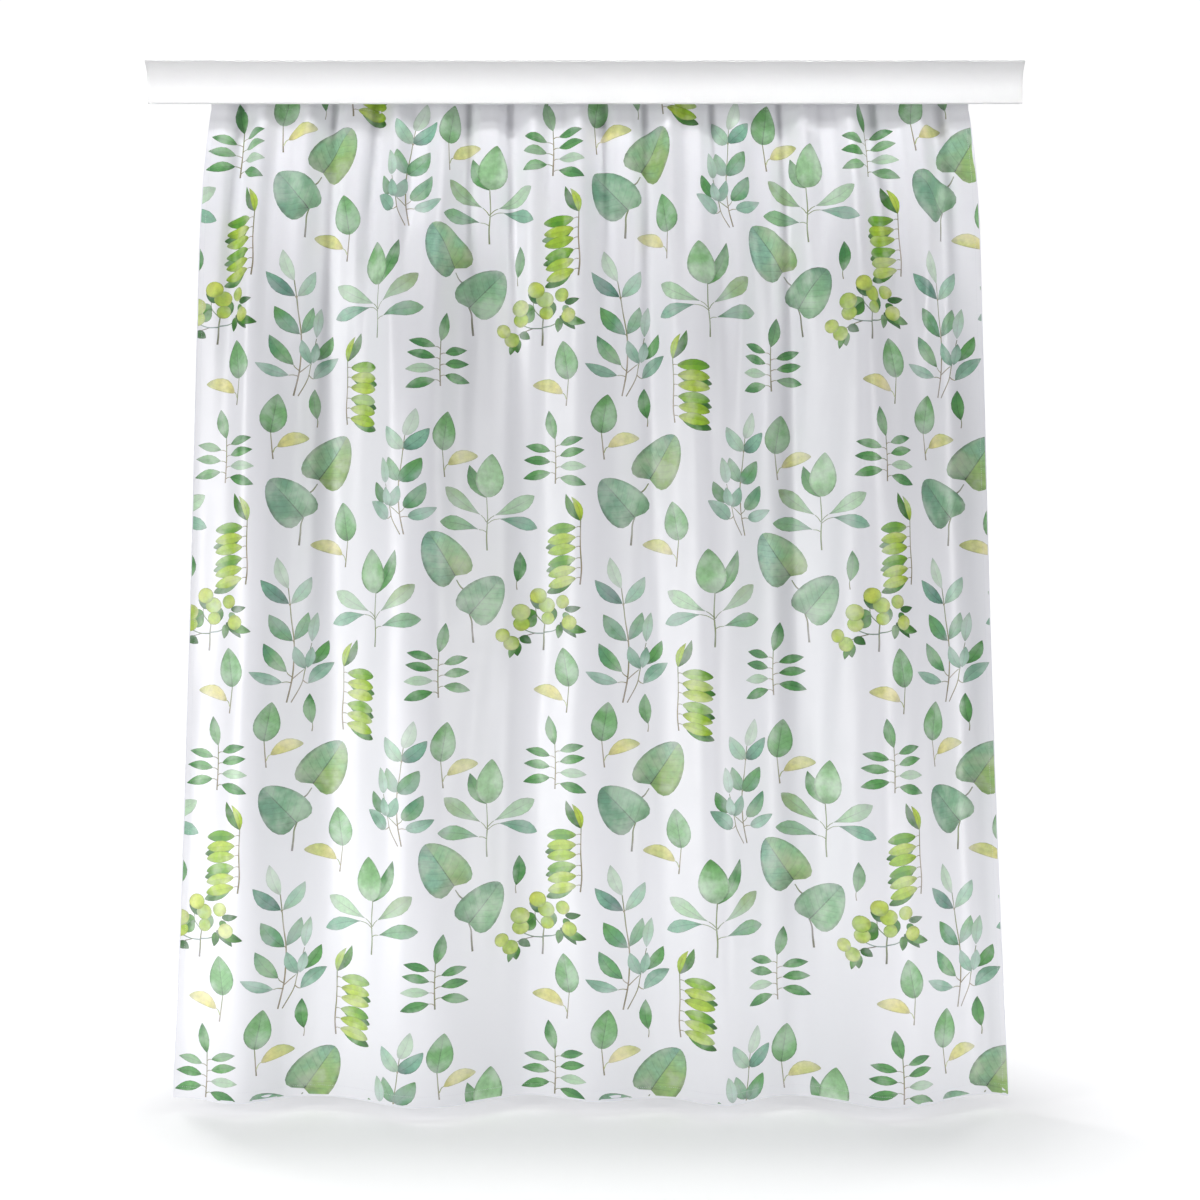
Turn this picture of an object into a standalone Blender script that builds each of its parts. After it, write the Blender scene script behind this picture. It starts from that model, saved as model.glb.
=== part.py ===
"""A shower curtain on a ceiling track with a cove fascia.

Metres, +Z up. The origin is the centre of the track's upper face, which lies against the ceiling.
The fascia faces -Y and the track runs along X. The cloth hangs from twelve carriers by open wire
hooks and pressed eyelets, and its fold depth follows from how much wider it is than it hangs.
"""

import math

import bmesh
import bpy
import numpy as np
from mathutils import Matrix, Vector

# Overall sizes
TRACK_LENGTH = 1.700
CLOTH_WIDTH = 1.800          # flat, from side edge to side edge
CLOTH_HEIGHT = 2.000         # flat, from top edge to bottom edge
HUNG_WIDTH = 1.498           # width of the header as it hangs
HUNG_CENTRE_X = 0.009        # the cloth hangs a little to the right of the track's middle
CARRIER_COUNT = 12
GAP = 0.0003                 # between pieces that touch

# Ceiling track: a flat plate with one channel below it and a rib along each edge
TRACK_WIDTH = 0.064
TRACK_WALL = 0.002
RIB_WALL = 0.0015
RIB_DROP = 0.006             # from the ceiling to the ribs' lower edges
CHANNEL_WIDTH = 0.019        # inside
CHANNEL_DROP = 0.016         # from the ceiling to the channel's underside
CHANNEL_WALL = 0.0015
SLOT_WIDTH = 0.007
SCREW_HOLE_RADIUS = 0.0023
SCREW_COUNT = 4
SCREW_Y = 0.021
SCREW_END_MARGIN = 0.100

# Fascia: a cove that leans forward at the top and ends in a small inward lip
FASCIA_WALL = 0.0018
FASCIA_DROP = 0.0775
FASCIA_FACE_Y = -0.046       # the plain lower face
FASCIA_TOP_Y = -0.066        # the projecting upper edge
FASCIA_FILLET = 0.003        # upright strip above the cove
COVE_HEIGHT = 0.041
COVE_SWEEP = math.radians(62)
COVE_STEPS = 9
FASCIA_LIP = 0.0035
FASCIA_LIP_RADIUS = 0.0012
FASCIA_CEILING_GAP = 0.0004
END_CAP_THICKNESS = 0.002
END_CAP_BACK_DROP = 0.019

# Clips over the two ribs
CLIP_COUNT = 4
CLIP_LENGTH = 0.022
CLIP_WALL = 0.0010
CLIP_END_MARGIN = 0.180

# Carriers
HEAD_LENGTH = 0.018
HEAD_HEIGHT = 0.0070
HEAD_BEVEL = 0.0012
NECK_LENGTH = 0.0080
NECK_CLEARANCE = 0.0010      # each side, in the slot
EYE_OUTER_RADIUS = 0.0060
EYE_HOLE_RADIUS = 0.0032
EYE_THICKNESS = 0.0030
EYE_DROP = 0.0090            # from the channel's underside to the eye's centre
END_STOP_LENGTH = 0.012
END_STOP_GRIP_DROP = 0.006

# Hooks and eyelets
WIRE_RADIUS = 0.0012
HOOK_HEIGHT = 0.0235         # between wire centres
HOOK_WIDTH = 0.016
HOOK_POINTS = 14
HOOK_MOUTH = math.radians(42)   # half the angle that stays open, at the front
WIRE_PLAY = 0.0009           # room for a hook to rock in its eye
EYELET_HOLE_RADIUS = 0.0050
EYELET_OUTER_RADIUS = 0.0100
EYELET_FLANGE = 0.0008
EYELET_BARREL = 0.0008
EYELET_TOP_MARGIN = 0.016    # from the cloth's top edge to the eyelets' centres
EYELET_SIDE_MARGIN = 0.020   # from the cloth's side edge to the end eyelets' centres

# Cloth
CLOTH_THICKNESS = 0.0004
BAND_THICKNESS = 0.0008
BAND_HEIGHT = 0.040
SIDE_HEM_WIDTH = 0.012
HEM_HEIGHT = 0.025
HEM_TURN_STEPS = 4
TAPE_RADIUS = 0.0012
EYELET_FLAT = 0.0118         # the header lies flat this far each side of an eyelet

# How the folds run: (place across at the top, place across at the hem, how far forward)
FOLDS = (
    (0.000, 0.000, -0.55),
    (0.085, 0.080, 0.35),
    (0.170, 0.170, -0.80),
    (0.265, 0.305, 1.00),
    (0.400, 0.430, -0.90),
    (0.500, 0.508, 0.15),
    (0.565, 0.577, -0.50),
    (0.628, 0.658, 0.60),
    (0.755, 0.735, -0.85),
    (0.828, 0.854, 1.00),
    (0.965, 0.980, -1.00),
    (1.000, 1.000, -0.75),
)
# On which side of each gap between eyelets its ridge stands: 1 is the left
PLEAT_SIDES = (-1, 1, -1, 1, -1, 1, -1, -1, -1, 1, 1)
FLARE_LEFT = 0.084
FLARE_RIGHT = 0.090
FLARE_EARLY = 0.45           # share of the flare reached quickly, below the header
FLARE_FALL = 0.12            # height share over which it is reached
PLEAT_FADE = 0.13            # height share over which the header's pleats die out
FOLD_GROW = 0.28             # height share over which the long folds take over
BALANCE_FROM = 0.15          # below this share of the height the folds centre on the hooks

PANEL_COLUMNS = 72
PANEL_ROWS = 9
BAND_STEPS = 6               # columns between two eyelets
HEM_COLUMNS = 48
ARC_SAMPLES = 1500
WIRE_RESOLUTION = 1
EYE_STEPS = 14
EYE_HOLE_STEPS = 10
EYELET_STEPS = 14

WHITE_PLASTIC = (0.90, 0.90, 0.89, 1.0)
WHITE_METAL = (0.86, 0.86, 0.86, 1.0)
STEEL = (0.62, 0.62, 0.63, 1.0)
CLOTH_WHITE = (0.86, 0.86, 0.89, 1.0)
LEAD_GREY = (0.45, 0.45, 0.46, 1.0)

# Places worked out from the sizes above
CHANNEL_FLOOR_Z = -CHANNEL_DROP + CHANNEL_WALL
EYE_Z = -CHANNEL_DROP - EYE_DROP
PIVOT_Z = EYE_Z - (EYE_HOLE_RADIUS - WIRE_RADIUS - WIRE_PLAY)
HOOK_LOW_Z = PIVOT_Z - HOOK_HEIGHT
EYELET_Z = HOOK_LOW_Z - (EYELET_HOLE_RADIUS - WIRE_RADIUS - WIRE_PLAY)
CLOTH_TOP_Z = EYELET_Z + EYELET_TOP_MARGIN
FASCIA_BACK_Y = -TRACK_WIDTH / 2 - GAP
CARRIER_PITCH = (HUNG_WIDTH - 2 * EYELET_SIDE_MARGIN) / (CARRIER_COUNT - 1)
FIRST_CARRIER_X = HUNG_CENTRE_X - HUNG_WIDTH / 2 + EYELET_SIDE_MARGIN
HUNG_LEFT_X = HUNG_CENTRE_X - HUNG_WIDTH / 2
HUNG_RIGHT_X = HUNG_CENTRE_X + HUNG_WIDTH / 2


# Scene, materials and small helpers

def empty_scene():
    for thing in list(bpy.data.objects):
        bpy.data.objects.remove(thing, do_unlink=True)


def new_collection(name):
    collection = bpy.data.collections.new(name)
    bpy.context.scene.collection.children.link(collection)
    return collection


def new_material(name, colour, roughness, metallic=0.0):
    material = bpy.data.materials.new(name)
    material.use_nodes = True
    shader = material.node_tree.nodes["Principled BSDF"]
    shader.inputs["Base Color"].default_value = colour
    shader.inputs["Roughness"].default_value = roughness
    shader.inputs["Metallic"].default_value = metallic
    return material


empty_scene()
PARTS = new_collection("shower_curtain")
CUTTERS = new_collection("cutters")
MATERIALS = {
    "track": new_material("track", WHITE_METAL, 0.40),
    "fascia": new_material("fascia", WHITE_PLASTIC, 0.35),
    "carrier": new_material("carrier", WHITE_PLASTIC, 0.45),
    "steel": new_material("steel", STEEL, 0.25, 1.0),
    "cloth": new_material("cloth", CLOTH_WHITE, 0.60),
    "weight": new_material("weight", LEAD_GREY, 0.55),
}


def place(name, mesh, material, location=(0, 0, 0), collection=PARTS):
    """A named object of the mesh, in the model's collection."""
    thing = bpy.data.objects.new(name, mesh)
    thing.location = location
    if material:
        mesh.materials.clear()
        mesh.materials.append(MATERIALS[material])
    collection.objects.link(thing)
    return thing


def evaluated_mesh(thing, name):
    """The object's mesh with its modifiers applied, welded, in its own space."""
    bpy.context.view_layer.update()
    depsgraph = bpy.context.evaluated_depsgraph_get()
    mesh = bpy.data.meshes.new_from_object(thing.evaluated_get(depsgraph))
    mesh.name = name
    work = bmesh.new()
    work.from_mesh(mesh)
    bmesh.ops.remove_doubles(work, verts=work.verts, dist=1e-6)
    bmesh.ops.recalc_face_normals(work, faces=work.faces)
    work.to_mesh(mesh)
    work.free()
    return mesh


def baked(thing, name):
    """The evaluated mesh of a helper object, which is then removed."""
    mesh = evaluated_mesh(thing, name)
    bpy.data.objects.remove(thing, do_unlink=True)
    return mesh


def smooth(mesh, angle=35):
    mesh.shade_smooth()
    mesh.set_sharp_from_angle(angle=math.radians(angle))
    return mesh


def box_mesh(name, size, centre, bevel=0.0):
    work = bmesh.new()
    bmesh.ops.create_cube(work, size=1.0)
    bmesh.ops.scale(work, vec=Vector(size), verts=work.verts)
    if bevel:
        bmesh.ops.bevel(work, geom=work.edges[:], offset=bevel, segments=1, affect="EDGES", profile=0.5)
    bmesh.ops.translate(work, vec=Vector(centre), verts=work.verts)
    mesh = bpy.data.meshes.new(name)
    work.to_mesh(mesh)
    work.free()
    return mesh


def plate_mesh(name, loops, thickness, across, up):
    """Closed outlines filled and extruded to a plate, laid on the plane of two directions."""
    curve = bpy.data.curves.new(name, "CURVE")
    curve.dimensions = "2D"
    curve.fill_mode = "BOTH"
    curve.extrude = thickness / 2
    for loop in loops:
        spline = curve.splines.new("POLY")
        spline.points.add(len(loop) - 1)
        for point, (a, b) in zip(spline.points, loop):
            point.co = (a, b, 0, 1)
        spline.use_cyclic_u = True
    mesh = baked(place(name, curve, None, collection=CUTTERS), name)
    across, up = Vector(across), Vector(up)
    turn = Matrix((across, up, across.cross(up))).transposed()
    mesh.transform(turn.to_4x4())
    return mesh


def wire_mesh(name, points, radius):
    """A round wire along the points, with closed ends."""
    curve = bpy.data.curves.new(name, "CURVE")
    curve.dimensions = "3D"
    curve.bevel_depth = radius
    curve.bevel_resolution = WIRE_RESOLUTION
    curve.use_fill_caps = True
    spline = curve.splines.new("POLY")
    spline.points.add(len(points) - 1)
    for point, place_at in zip(spline.points, points):
        point.co = (*place_at, 1)
    return baked(place(name, curve, None, collection=CUTTERS), name)


def turned_mesh(name, profile, steps):
    """A closed profile of (radius, height) turned about Z."""
    mesh = bpy.data.meshes.new(name)
    count = len(profile)
    edges = [(n, (n + 1) % count) for n in range(count)]
    mesh.from_pydata([(r, 0, z) for r, z in profile], edges, [])
    thing = place(name, mesh, None, collection=CUTTERS)
    screw = thing.modifiers.new("Screw", "SCREW")
    screw.steps = steps
    screw.render_steps = steps
    screw.use_merge_vertices = True
    screw.merge_threshold = 0.00001
    return baked(thing, name)


def union_mesh(name, meshes):
    """Several overlapping closed meshes joined into one body."""
    first = place(name, meshes[0], None, collection=CUTTERS)
    others = [place(f"{name}_{n}", mesh, None, collection=CUTTERS) for n, mesh in enumerate(meshes[1:])]
    for other in others:
        join = first.modifiers.new("Union", "BOOLEAN")
        join.operation = "UNION"
        join.solver = "EXACT"
        join.object = other
    mesh = evaluated_mesh(first, name)
    for thing in (first, *others):
        bpy.data.objects.remove(thing, do_unlink=True)
    return mesh


def cut(thing, cutter):
    """A Boolean difference that stays on the object."""
    difference = thing.modifiers.new("Cut", "BOOLEAN")
    difference.operation = "DIFFERENCE"
    difference.solver = "EXACT"
    difference.object = cutter
    cutter.hide_render = True
    cutter.display_type = "WIRE"


def rods(name, centres, radius, length, axis, segments=16):
    """Parallel round rods in one cutter object."""
    work = bmesh.new()
    turn = Matrix.Rotation(math.radians(90), 4, "X") if axis == "Y" else Matrix.Identity(4)
    for centre in centres:
        bmesh.ops.create_cone(
            work, cap_ends=True, segments=segments, radius1=radius, radius2=radius, depth=length,
            matrix=Matrix.Translation(Vector(centre)) @ turn,
        )
    mesh = bpy.data.meshes.new(name)
    work.to_mesh(mesh)
    work.free()
    return place(name, mesh, None, collection=CUTTERS)


def along_x(count, margin):
    """Evenly spaced places along the track."""
    reach = TRACK_LENGTH / 2 - margin
    return [-reach + 2 * reach * n / (count - 1) for n in range(count)]


# Track, fascia and their small parts

def track_outline():
    half, wall = TRACK_WIDTH / 2, TRACK_WALL
    inner, slot = CHANNEL_WIDTH / 2, SLOT_WIDTH / 2
    outer = inner + CHANNEL_WALL
    right = [
        (half, 0), (half, -RIB_DROP), (half - RIB_WALL, -RIB_DROP), (half - RIB_WALL, -wall),
        (outer, -wall), (outer, -CHANNEL_DROP), (slot, -CHANNEL_DROP), (slot, CHANNEL_FLOOR_Z),
        (inner, CHANNEL_FLOOR_Z), (inner, -wall),
    ]
    return right + [(-y, z) for y, z in reversed(right)]


def make_track():
    mesh = plate_mesh("ceiling_track", [track_outline()], TRACK_LENGTH, (0, 1, 0), (0, 0, 1))
    track = place("ceiling_track", mesh, "track")
    centres = [(x, SCREW_Y, 0) for x in along_x(SCREW_COUNT, SCREW_END_MARGIN)]
    cut(track, rods("screw_holes", centres, SCREW_HOLE_RADIUS, 4 * TRACK_WALL, "Z"))


def fascia_front():
    """The outer face from its top edge to its lower corner, as (y, z)."""
    top = -FASCIA_CEILING_GAP
    cove_low = top - FASCIA_FILLET - COVE_HEIGHT
    reach_y = (FASCIA_FACE_Y - FASCIA_TOP_Y) / (1 - math.cos(COVE_SWEEP))
    reach_z = COVE_HEIGHT / math.sin(COVE_SWEEP)
    points = [(FASCIA_TOP_Y, top)]
    for n in range(COVE_STEPS + 1):
        angle = COVE_SWEEP * (1 - n / COVE_STEPS)
        points.append(
            (FASCIA_FACE_Y - reach_y * (1 - math.cos(angle)), cove_low + reach_z * math.sin(angle))
        )
    corner = FASCIA_LIP_RADIUS
    for n in range(4):
        angle = math.radians(30 * n)
        points.append(
            (FASCIA_FACE_Y + corner * (1 - math.cos(angle)), -FASCIA_DROP + corner * (1 - math.sin(angle)))
        )
    return points


def make_fascia():
    top = -FASCIA_CEILING_GAP
    path = [(FASCIA_BACK_Y, -RIB_DROP), (FASCIA_BACK_Y, top)]
    path += fascia_front()
    path += [(FASCIA_FACE_Y + FASCIA_LIP, -FASCIA_DROP)]
    half = TRACK_LENGTH / 2
    mesh = bpy.data.meshes.new("fascia")
    vertices = [(x, y, z) for x in (-half, half) for y, z in path]
    count = len(path)
    faces = [(n, n + 1, count + n + 1, count + n) for n in range(count - 1)]
    mesh.from_pydata(vertices, [], faces)
    fascia = place("fascia", mesh, "fascia")
    wall = fascia.modifiers.new("Wall", "SOLIDIFY")
    wall.thickness = FASCIA_WALL
    wall.offset = -1.0
    wall.use_even_offset = True


def end_cap_outline():
    """The fascia's front, then back along a soft curve to the track's rear edge."""
    front = fascia_front()
    low_y, low_z = FASCIA_FACE_Y + FASCIA_LIP, -FASCIA_DROP
    back_y, back_z = TRACK_WIDTH / 2, -END_CAP_BACK_DROP
    sweep = []
    for n in range(7):
        angle = math.radians(90) * n / 6
        sweep.append(
            (back_y - (back_y - low_y) * math.cos(angle), low_z + (back_z - low_z) * math.sin(angle))
        )
    return front + sweep + [(back_y, -FASCIA_CEILING_GAP)]


def make_end_caps():
    for side, sign in (("left", -1), ("right", 1)):
        mesh = plate_mesh(f"fascia_end_cap_{side}", [end_cap_outline()], END_CAP_THICKNESS,
                          (0, 1, 0), (0, 0, 1))
        x = sign * (TRACK_LENGTH / 2 + GAP + END_CAP_THICKNESS / 2)
        place(f"fascia_end_cap_{side}", mesh, "fascia", (x, 0, 0))


def make_clips():
    """A U of spring strip that grips the fascia's back rib and the track's front rib."""
    front = FASCIA_BACK_Y - FASCIA_WALL - GAP
    back = -TRACK_WIDTH / 2 + RIB_WALL + GAP
    top = -max(TRACK_WALL, FASCIA_CEILING_GAP + FASCIA_WALL) - GAP
    low = -RIB_DROP - GAP
    wall = CLIP_WALL
    outline = [
        (front, top), (front - wall, top), (front - wall, low - wall), (back + wall, low - wall),
        (back + wall, top), (back, top), (back, low), (front, low),
    ]
    mesh = plate_mesh("fascia_clip", [outline], CLIP_LENGTH, (0, 1, 0), (0, 0, 1))
    for n, x in enumerate(along_x(CLIP_COUNT, CLIP_END_MARGIN), 1):
        place(f"fascia_clip_{n}", mesh, "steel", (x, 0, 0))


def carrier_mesh():
    """Head in the channel, neck through the slot and eye below, about the eye's pivot line."""
    head_low = CHANNEL_FLOOR_Z + GAP
    head_width = CHANNEL_WIDTH - 2 * GAP - 2 * NECK_CLEARANCE
    head = box_mesh("head", (HEAD_LENGTH, head_width, HEAD_HEIGHT),
                    (0, 0, head_low + HEAD_HEIGHT / 2), HEAD_BEVEL)
    neck_high, neck_low = head_low + HEAD_HEIGHT / 2, EYE_Z + EYE_HOLE_RADIUS + WIRE_RADIUS
    neck = box_mesh("neck", (NECK_LENGTH, SLOT_WIDTH - 2 * NECK_CLEARANCE, neck_high - neck_low),
                    (0, 0, (neck_high + neck_low) / 2))
    rim = [(EYE_OUTER_RADIUS * math.cos(a), EYE_OUTER_RADIUS * math.sin(a)) for a in turns(EYE_STEPS)]
    hole = [(EYE_HOLE_RADIUS * math.cos(a), EYE_HOLE_RADIUS * math.sin(a)) for a in turns(EYE_HOLE_STEPS)]
    eye = plate_mesh("eye", [rim, hole], EYE_THICKNESS, (1, 0, 0), (0, 0, 1))
    eye.transform(Matrix.Translation((0, 0, EYE_Z)))
    return smooth(union_mesh("carrier", [head, neck, eye]))


def turns(count):
    return [2 * math.pi * n / count for n in range(count)]


def hook_mesh():
    """An open oval of wire in the YZ plane: over the eye at the top, through the eyelet below."""
    centre_z = (PIVOT_Z + HOOK_LOW_Z) / 2
    points = []
    for n in range(HOOK_POINTS):
        share = n / (HOOK_POINTS - 1)
        # the mouth opens towards -Y
        angle = -math.pi + HOOK_MOUTH + share * (2 * math.pi - 2 * HOOK_MOUTH)
        points.append(
            (0, HOOK_WIDTH / 2 * math.cos(angle), centre_z + HOOK_HEIGHT / 2 * math.sin(angle))
        )
    return smooth(wire_mesh("hook", points, WIRE_RADIUS))


def eyelet_mesh():
    """A barrel with two flanges; the header's hole sits in the groove between them."""
    groove = BAND_THICKNESS / 2 + GAP
    outside = groove + EYELET_FLANGE
    hole, barrel, rim = EYELET_HOLE_RADIUS, EYELET_HOLE_RADIUS + EYELET_BARREL, EYELET_OUTER_RADIUS
    profile = [
        (hole, outside), (rim, outside), (rim, groove), (barrel, groove),
        (barrel, -groove), (rim, -groove), (rim, -outside), (hole, -outside),
    ]
    mesh = turned_mesh("eyelet", profile, EYELET_STEPS)
    mesh.transform(Matrix.Rotation(math.radians(90), 4, "X"))
    return smooth(mesh)


def carrier_x(n):
    return FIRST_CARRIER_X + n * CARRIER_PITCH


def make_runners():
    carrier, hook, eyelet = carrier_mesh(), hook_mesh(), eyelet_mesh()
    for n in range(CARRIER_COUNT):
        x = carrier_x(n)
        place(f"carrier_{n + 1:02d}", carrier, "carrier", (x, 0, 0))
        place(f"hook_{n + 1:02d}", hook, "steel", (x, 0, 0))
        place(f"eyelet_{n + 1:02d}", eyelet, "steel", (x, 0, EYELET_Z))


def make_end_stops():
    """Blocks wedged in the channel next to the first and last carriers, with a grip below."""
    width = CHANNEL_WIDTH - 2 * GAP
    low, high = CHANNEL_FLOOR_Z + GAP, -TRACK_WALL - GAP
    block = box_mesh("block", (END_STOP_LENGTH, width, high - low), (0, 0, (high + low) / 2), HEAD_BEVEL)
    grip_low = -CHANNEL_DROP - END_STOP_GRIP_DROP
    middle = (low + high) / 2
    grip = box_mesh("grip", (END_STOP_LENGTH * 0.7, SLOT_WIDTH - 2 * GAP, middle - grip_low),
                    (0, 0, (middle + grip_low) / 2))
    stop = union_mesh("end_stop", [block, grip])
    reach = HEAD_LENGTH / 2 + GAP + END_STOP_LENGTH / 2
    place("end_stop_left", stop, "carrier", (carrier_x(0) - reach, 0, 0))
    place("end_stop_right", stop, "carrier", (carrier_x(CARRIER_COUNT - 1) + reach, 0, 0))


# Cloth. A row is one level line of the hung cloth, at a share t of its height.

def ease(a):
    a = np.clip(a, 0, 1)
    return a * a * (3 - 2 * a)


def flare(t):
    return FLARE_EARLY * (1 - math.exp(-t / FLARE_FALL)) + (1 - FLARE_EARLY) * t * t


def header_pleats(along):
    """A ridge and a hollow between each two eyelets, and flat cloth at each eyelet."""
    pitches = (along * HUNG_WIDTH - EYELET_SIDE_MARGIN) / CARRIER_PITCH
    interval = np.clip(np.floor(pitches), 0, CARRIER_COUNT - 2).astype(int)
    side = np.array([PLEAT_SIDES[n % len(PLEAT_SIDES)] for n in range(CARRIER_COUNT - 1)])
    flat = EYELET_FLAT / CARRIER_PITCH
    share = np.clip((pitches - interval - flat) / (1 - 2 * flat), 0, 1)
    return side[interval] * np.sin(2 * math.pi * share) * np.sin(math.pi * share)


def long_folds(along, t):
    """The big folds, whose ridges wander from their places at the top to those at the hem."""
    places = [top + (hem - top) * t for top, hem, _ in FOLDS]
    heights = [height for _, _, height in FOLDS]
    value = np.full_like(along, heights[-1])
    for n in range(len(FOLDS) - 1):
        here = (along >= places[n]) & (along <= places[n + 1])
        share = (along - places[n]) / (places[n + 1] - places[n])
        value = np.where(here, heights[n] + (heights[n + 1] - heights[n]) * ease(share), value)
    return value


def row(t, header=False):
    """Level line as dense (x, y) samples and the cloth length up to each."""
    along = np.linspace(0, 1, ARC_SAMPLES)
    band = BAND_HEIGHT / CLOTH_HEIGHT
    below = 0.0 if header else max(0.0, t - band)
    left = HUNG_LEFT_X - FLARE_LEFT * flare(below)
    right = HUNG_RIGHT_X + FLARE_RIGHT * flare(below)
    x = left + (right - left) * along
    pleats = math.exp(-below / PLEAT_FADE)
    folds = float(ease(below / FOLD_GROW))
    shape = header_pleats(along) * pleats + long_folds(along, t) * folds
    depth_low, depth_high = 0.0, 0.3
    for _ in range(40):
        depth = (depth_low + depth_high) / 2
        length = np.hypot(np.diff(x), depth * np.diff(shape)).sum()
        if length < CLOTH_WIDTH:
            depth_low = depth
        else:
            depth_high = depth
    y = -depth * shape
    y = y - y.mean() * float(ease(below / BALANCE_FROM))
    length = np.concatenate([[0], np.cumsum(np.hypot(np.diff(x), np.diff(y)))])
    return x, y, length * CLOTH_WIDTH / length[-1]


def balance():
    """How far the cloth below the header moves so that it hangs centred under the hooks."""
    levels = np.linspace(0, 1, 61)
    means = np.array([row(t)[1].mean() for t in levels])
    share = ease((levels - BAND_HEIGHT / CLOTH_HEIGHT) / BALANCE_FROM)
    return -means.sum() / share.sum()


BALANCE_Y = balance()


def row_points(t, widths, header=False):
    """Points on the level line at the given cloth widths from the left edge, and their normals."""
    x, y, length = row(t, header)
    below = 0.0 if header else max(0.0, t - BAND_HEIGHT / CLOTH_HEIGHT)
    y = y + BALANCE_Y * float(ease(below / BALANCE_FROM))
    along_x, along_y = np.gradient(x, length), np.gradient(y, length)
    px, py = np.interp(widths, length, x), np.interp(widths, length, y)
    tx, ty = np.interp(widths, length, along_x), np.interp(widths, length, along_y)
    size = np.hypot(tx, ty)
    return np.stack([px, py], 1), np.stack([ty / size, -tx / size], 1)


def sheet_object(name, widths, drops, thickness, material, header=False):
    """A closed sheet between given widths across and drops below the top edge."""
    columns, rows = len(widths), len(drops)
    work = bmesh.new()
    grid = []
    for drop in drops:
        points, _ = row_points(drop / CLOTH_HEIGHT, widths, header)
        grid.append([work.verts.new((x, y, CLOTH_TOP_Z - drop)) for x, y in points])
    for r in range(rows - 1):
        for c in range(columns - 1):
            work.faces.new((grid[r][c], grid[r + 1][c], grid[r + 1][c + 1], grid[r][c + 1]))
    mesh = bpy.data.meshes.new(name)
    work.to_mesh(mesh)
    work.free()
    sheet = place(name, smooth(mesh, 60), material)
    wall = sheet.modifiers.new("Cloth", "SOLIDIFY")
    wall.thickness = thickness
    wall.offset = 0.0
    wall.use_even_offset = True
    return sheet


def eyelet_widths():
    pitch = (CLOTH_WIDTH - 2 * EYELET_SIDE_MARGIN) / (CARRIER_COUNT - 1)
    return [EYELET_SIDE_MARGIN + n * pitch for n in range(CARRIER_COUNT)]


def make_header_band():
    """The doubled top band, with a hole for each eyelet's barrel."""
    centres, flat = eyelet_widths(), EYELET_FLAT
    widths = [0.0, centres[0] - flat]
    for here, after in zip(centres[:-1], centres[1:]):
        widths += list(np.linspace(here + flat, after - flat, BAND_STEPS + 1))
    widths += [centres[-1] + flat, CLOTH_WIDTH]
    drops = np.linspace(0, BAND_HEIGHT - GAP, 3)
    band = sheet_object("header_band", np.array(widths), drops, BAND_THICKNESS, "cloth", header=True)
    holes = [(carrier_x(n), 0, EYELET_Z) for n in range(CARRIER_COUNT)]
    radius = EYELET_HOLE_RADIUS + EYELET_BARREL + GAP
    cut(band, rods("eyelet_holes", holes, radius, EYELET_OUTER_RADIUS, "Y"))


def make_panel():
    inner = SIDE_HEM_WIDTH + GAP
    widths = np.linspace(inner, CLOTH_WIDTH - inner, PANEL_COLUMNS + 1)
    shares = np.linspace(0, 1, PANEL_ROWS + 1) ** 1.25
    drops = BAND_HEIGHT + (CLOTH_HEIGHT - HEM_HEIGHT - GAP - BAND_HEIGHT) * shares
    sheet_object("curtain_panel", widths, drops, CLOTH_THICKNESS, "cloth")
    edges = {
        "left": np.array([0, SIDE_HEM_WIDTH]),
        "right": np.array([CLOTH_WIDTH - SIDE_HEM_WIDTH, CLOTH_WIDTH]),
    }
    for side, reach in edges.items():
        sheet_object(f"side_hem_{side}", reach, drops, BAND_THICKNESS, "cloth")


def make_bottom_hem():
    """The cloth turned up behind itself round the weight tape, and the tape."""
    t = 1 - HEM_HEIGHT / CLOTH_HEIGHT / 2
    turn = TAPE_RADIUS + GAP + CLOTH_THICKNESS / 2
    low = CLOTH_TOP_Z - CLOTH_HEIGHT + turn
    high = CLOTH_TOP_Z - CLOTH_HEIGHT + HEM_HEIGHT
    section = [(-turn, high)]
    for n in range(HEM_TURN_STEPS + 1):
        angle = math.pi * n / HEM_TURN_STEPS
        section.append((-turn * math.cos(angle), low - turn * math.sin(angle)))
    section.append((turn, high))
    points, normals = row_points(t, np.linspace(0, CLOTH_WIDTH, HEM_COLUMNS + 1))
    work = bmesh.new()
    grid = []
    for (x, y), (nx, ny) in zip(points, normals):
        grid.append([work.verts.new((x - nx * off, y - ny * off, z)) for off, z in section])
    for a, b in zip(grid[:-1], grid[1:]):
        for n in range(len(section) - 1):
            work.faces.new((a[n], a[n + 1], b[n + 1], b[n]))
    mesh = bpy.data.meshes.new("bottom_hem")
    work.to_mesh(mesh)
    work.free()
    hem = place("bottom_hem", smooth(mesh, 60), "cloth")
    wall = hem.modifiers.new("Cloth", "SOLIDIFY")
    wall.thickness = CLOTH_THICKNESS
    wall.offset = 0.0
    wall.use_even_offset = True
    tape = wire_mesh("weight_tape", [(x, y, low) for x, y in points], TAPE_RADIUS)
    place("weight_tape", smooth(tape), "weight")


make_track()
make_fascia()
make_end_caps()
make_clips()
make_runners()
make_end_stops()
make_header_band()
make_panel()
make_bottom_hem()
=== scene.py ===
"""The looks of a printed shower curtain that hangs from a ceiling track behind a cove fascia.

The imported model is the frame: its hooks, eyelets and carriers say where the cloth hangs. The cloth's
folds come from the same rules as the part's, and its print is a repeat of leaf motifs drawn by rule
as outlines in the flat cloth, so that every leaf has its own faces and follows the folds.
"""

import math

import bmesh
import bpy
import numpy as np
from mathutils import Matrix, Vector
from mathutils.geometry import delaunay_2d_cdt


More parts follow.
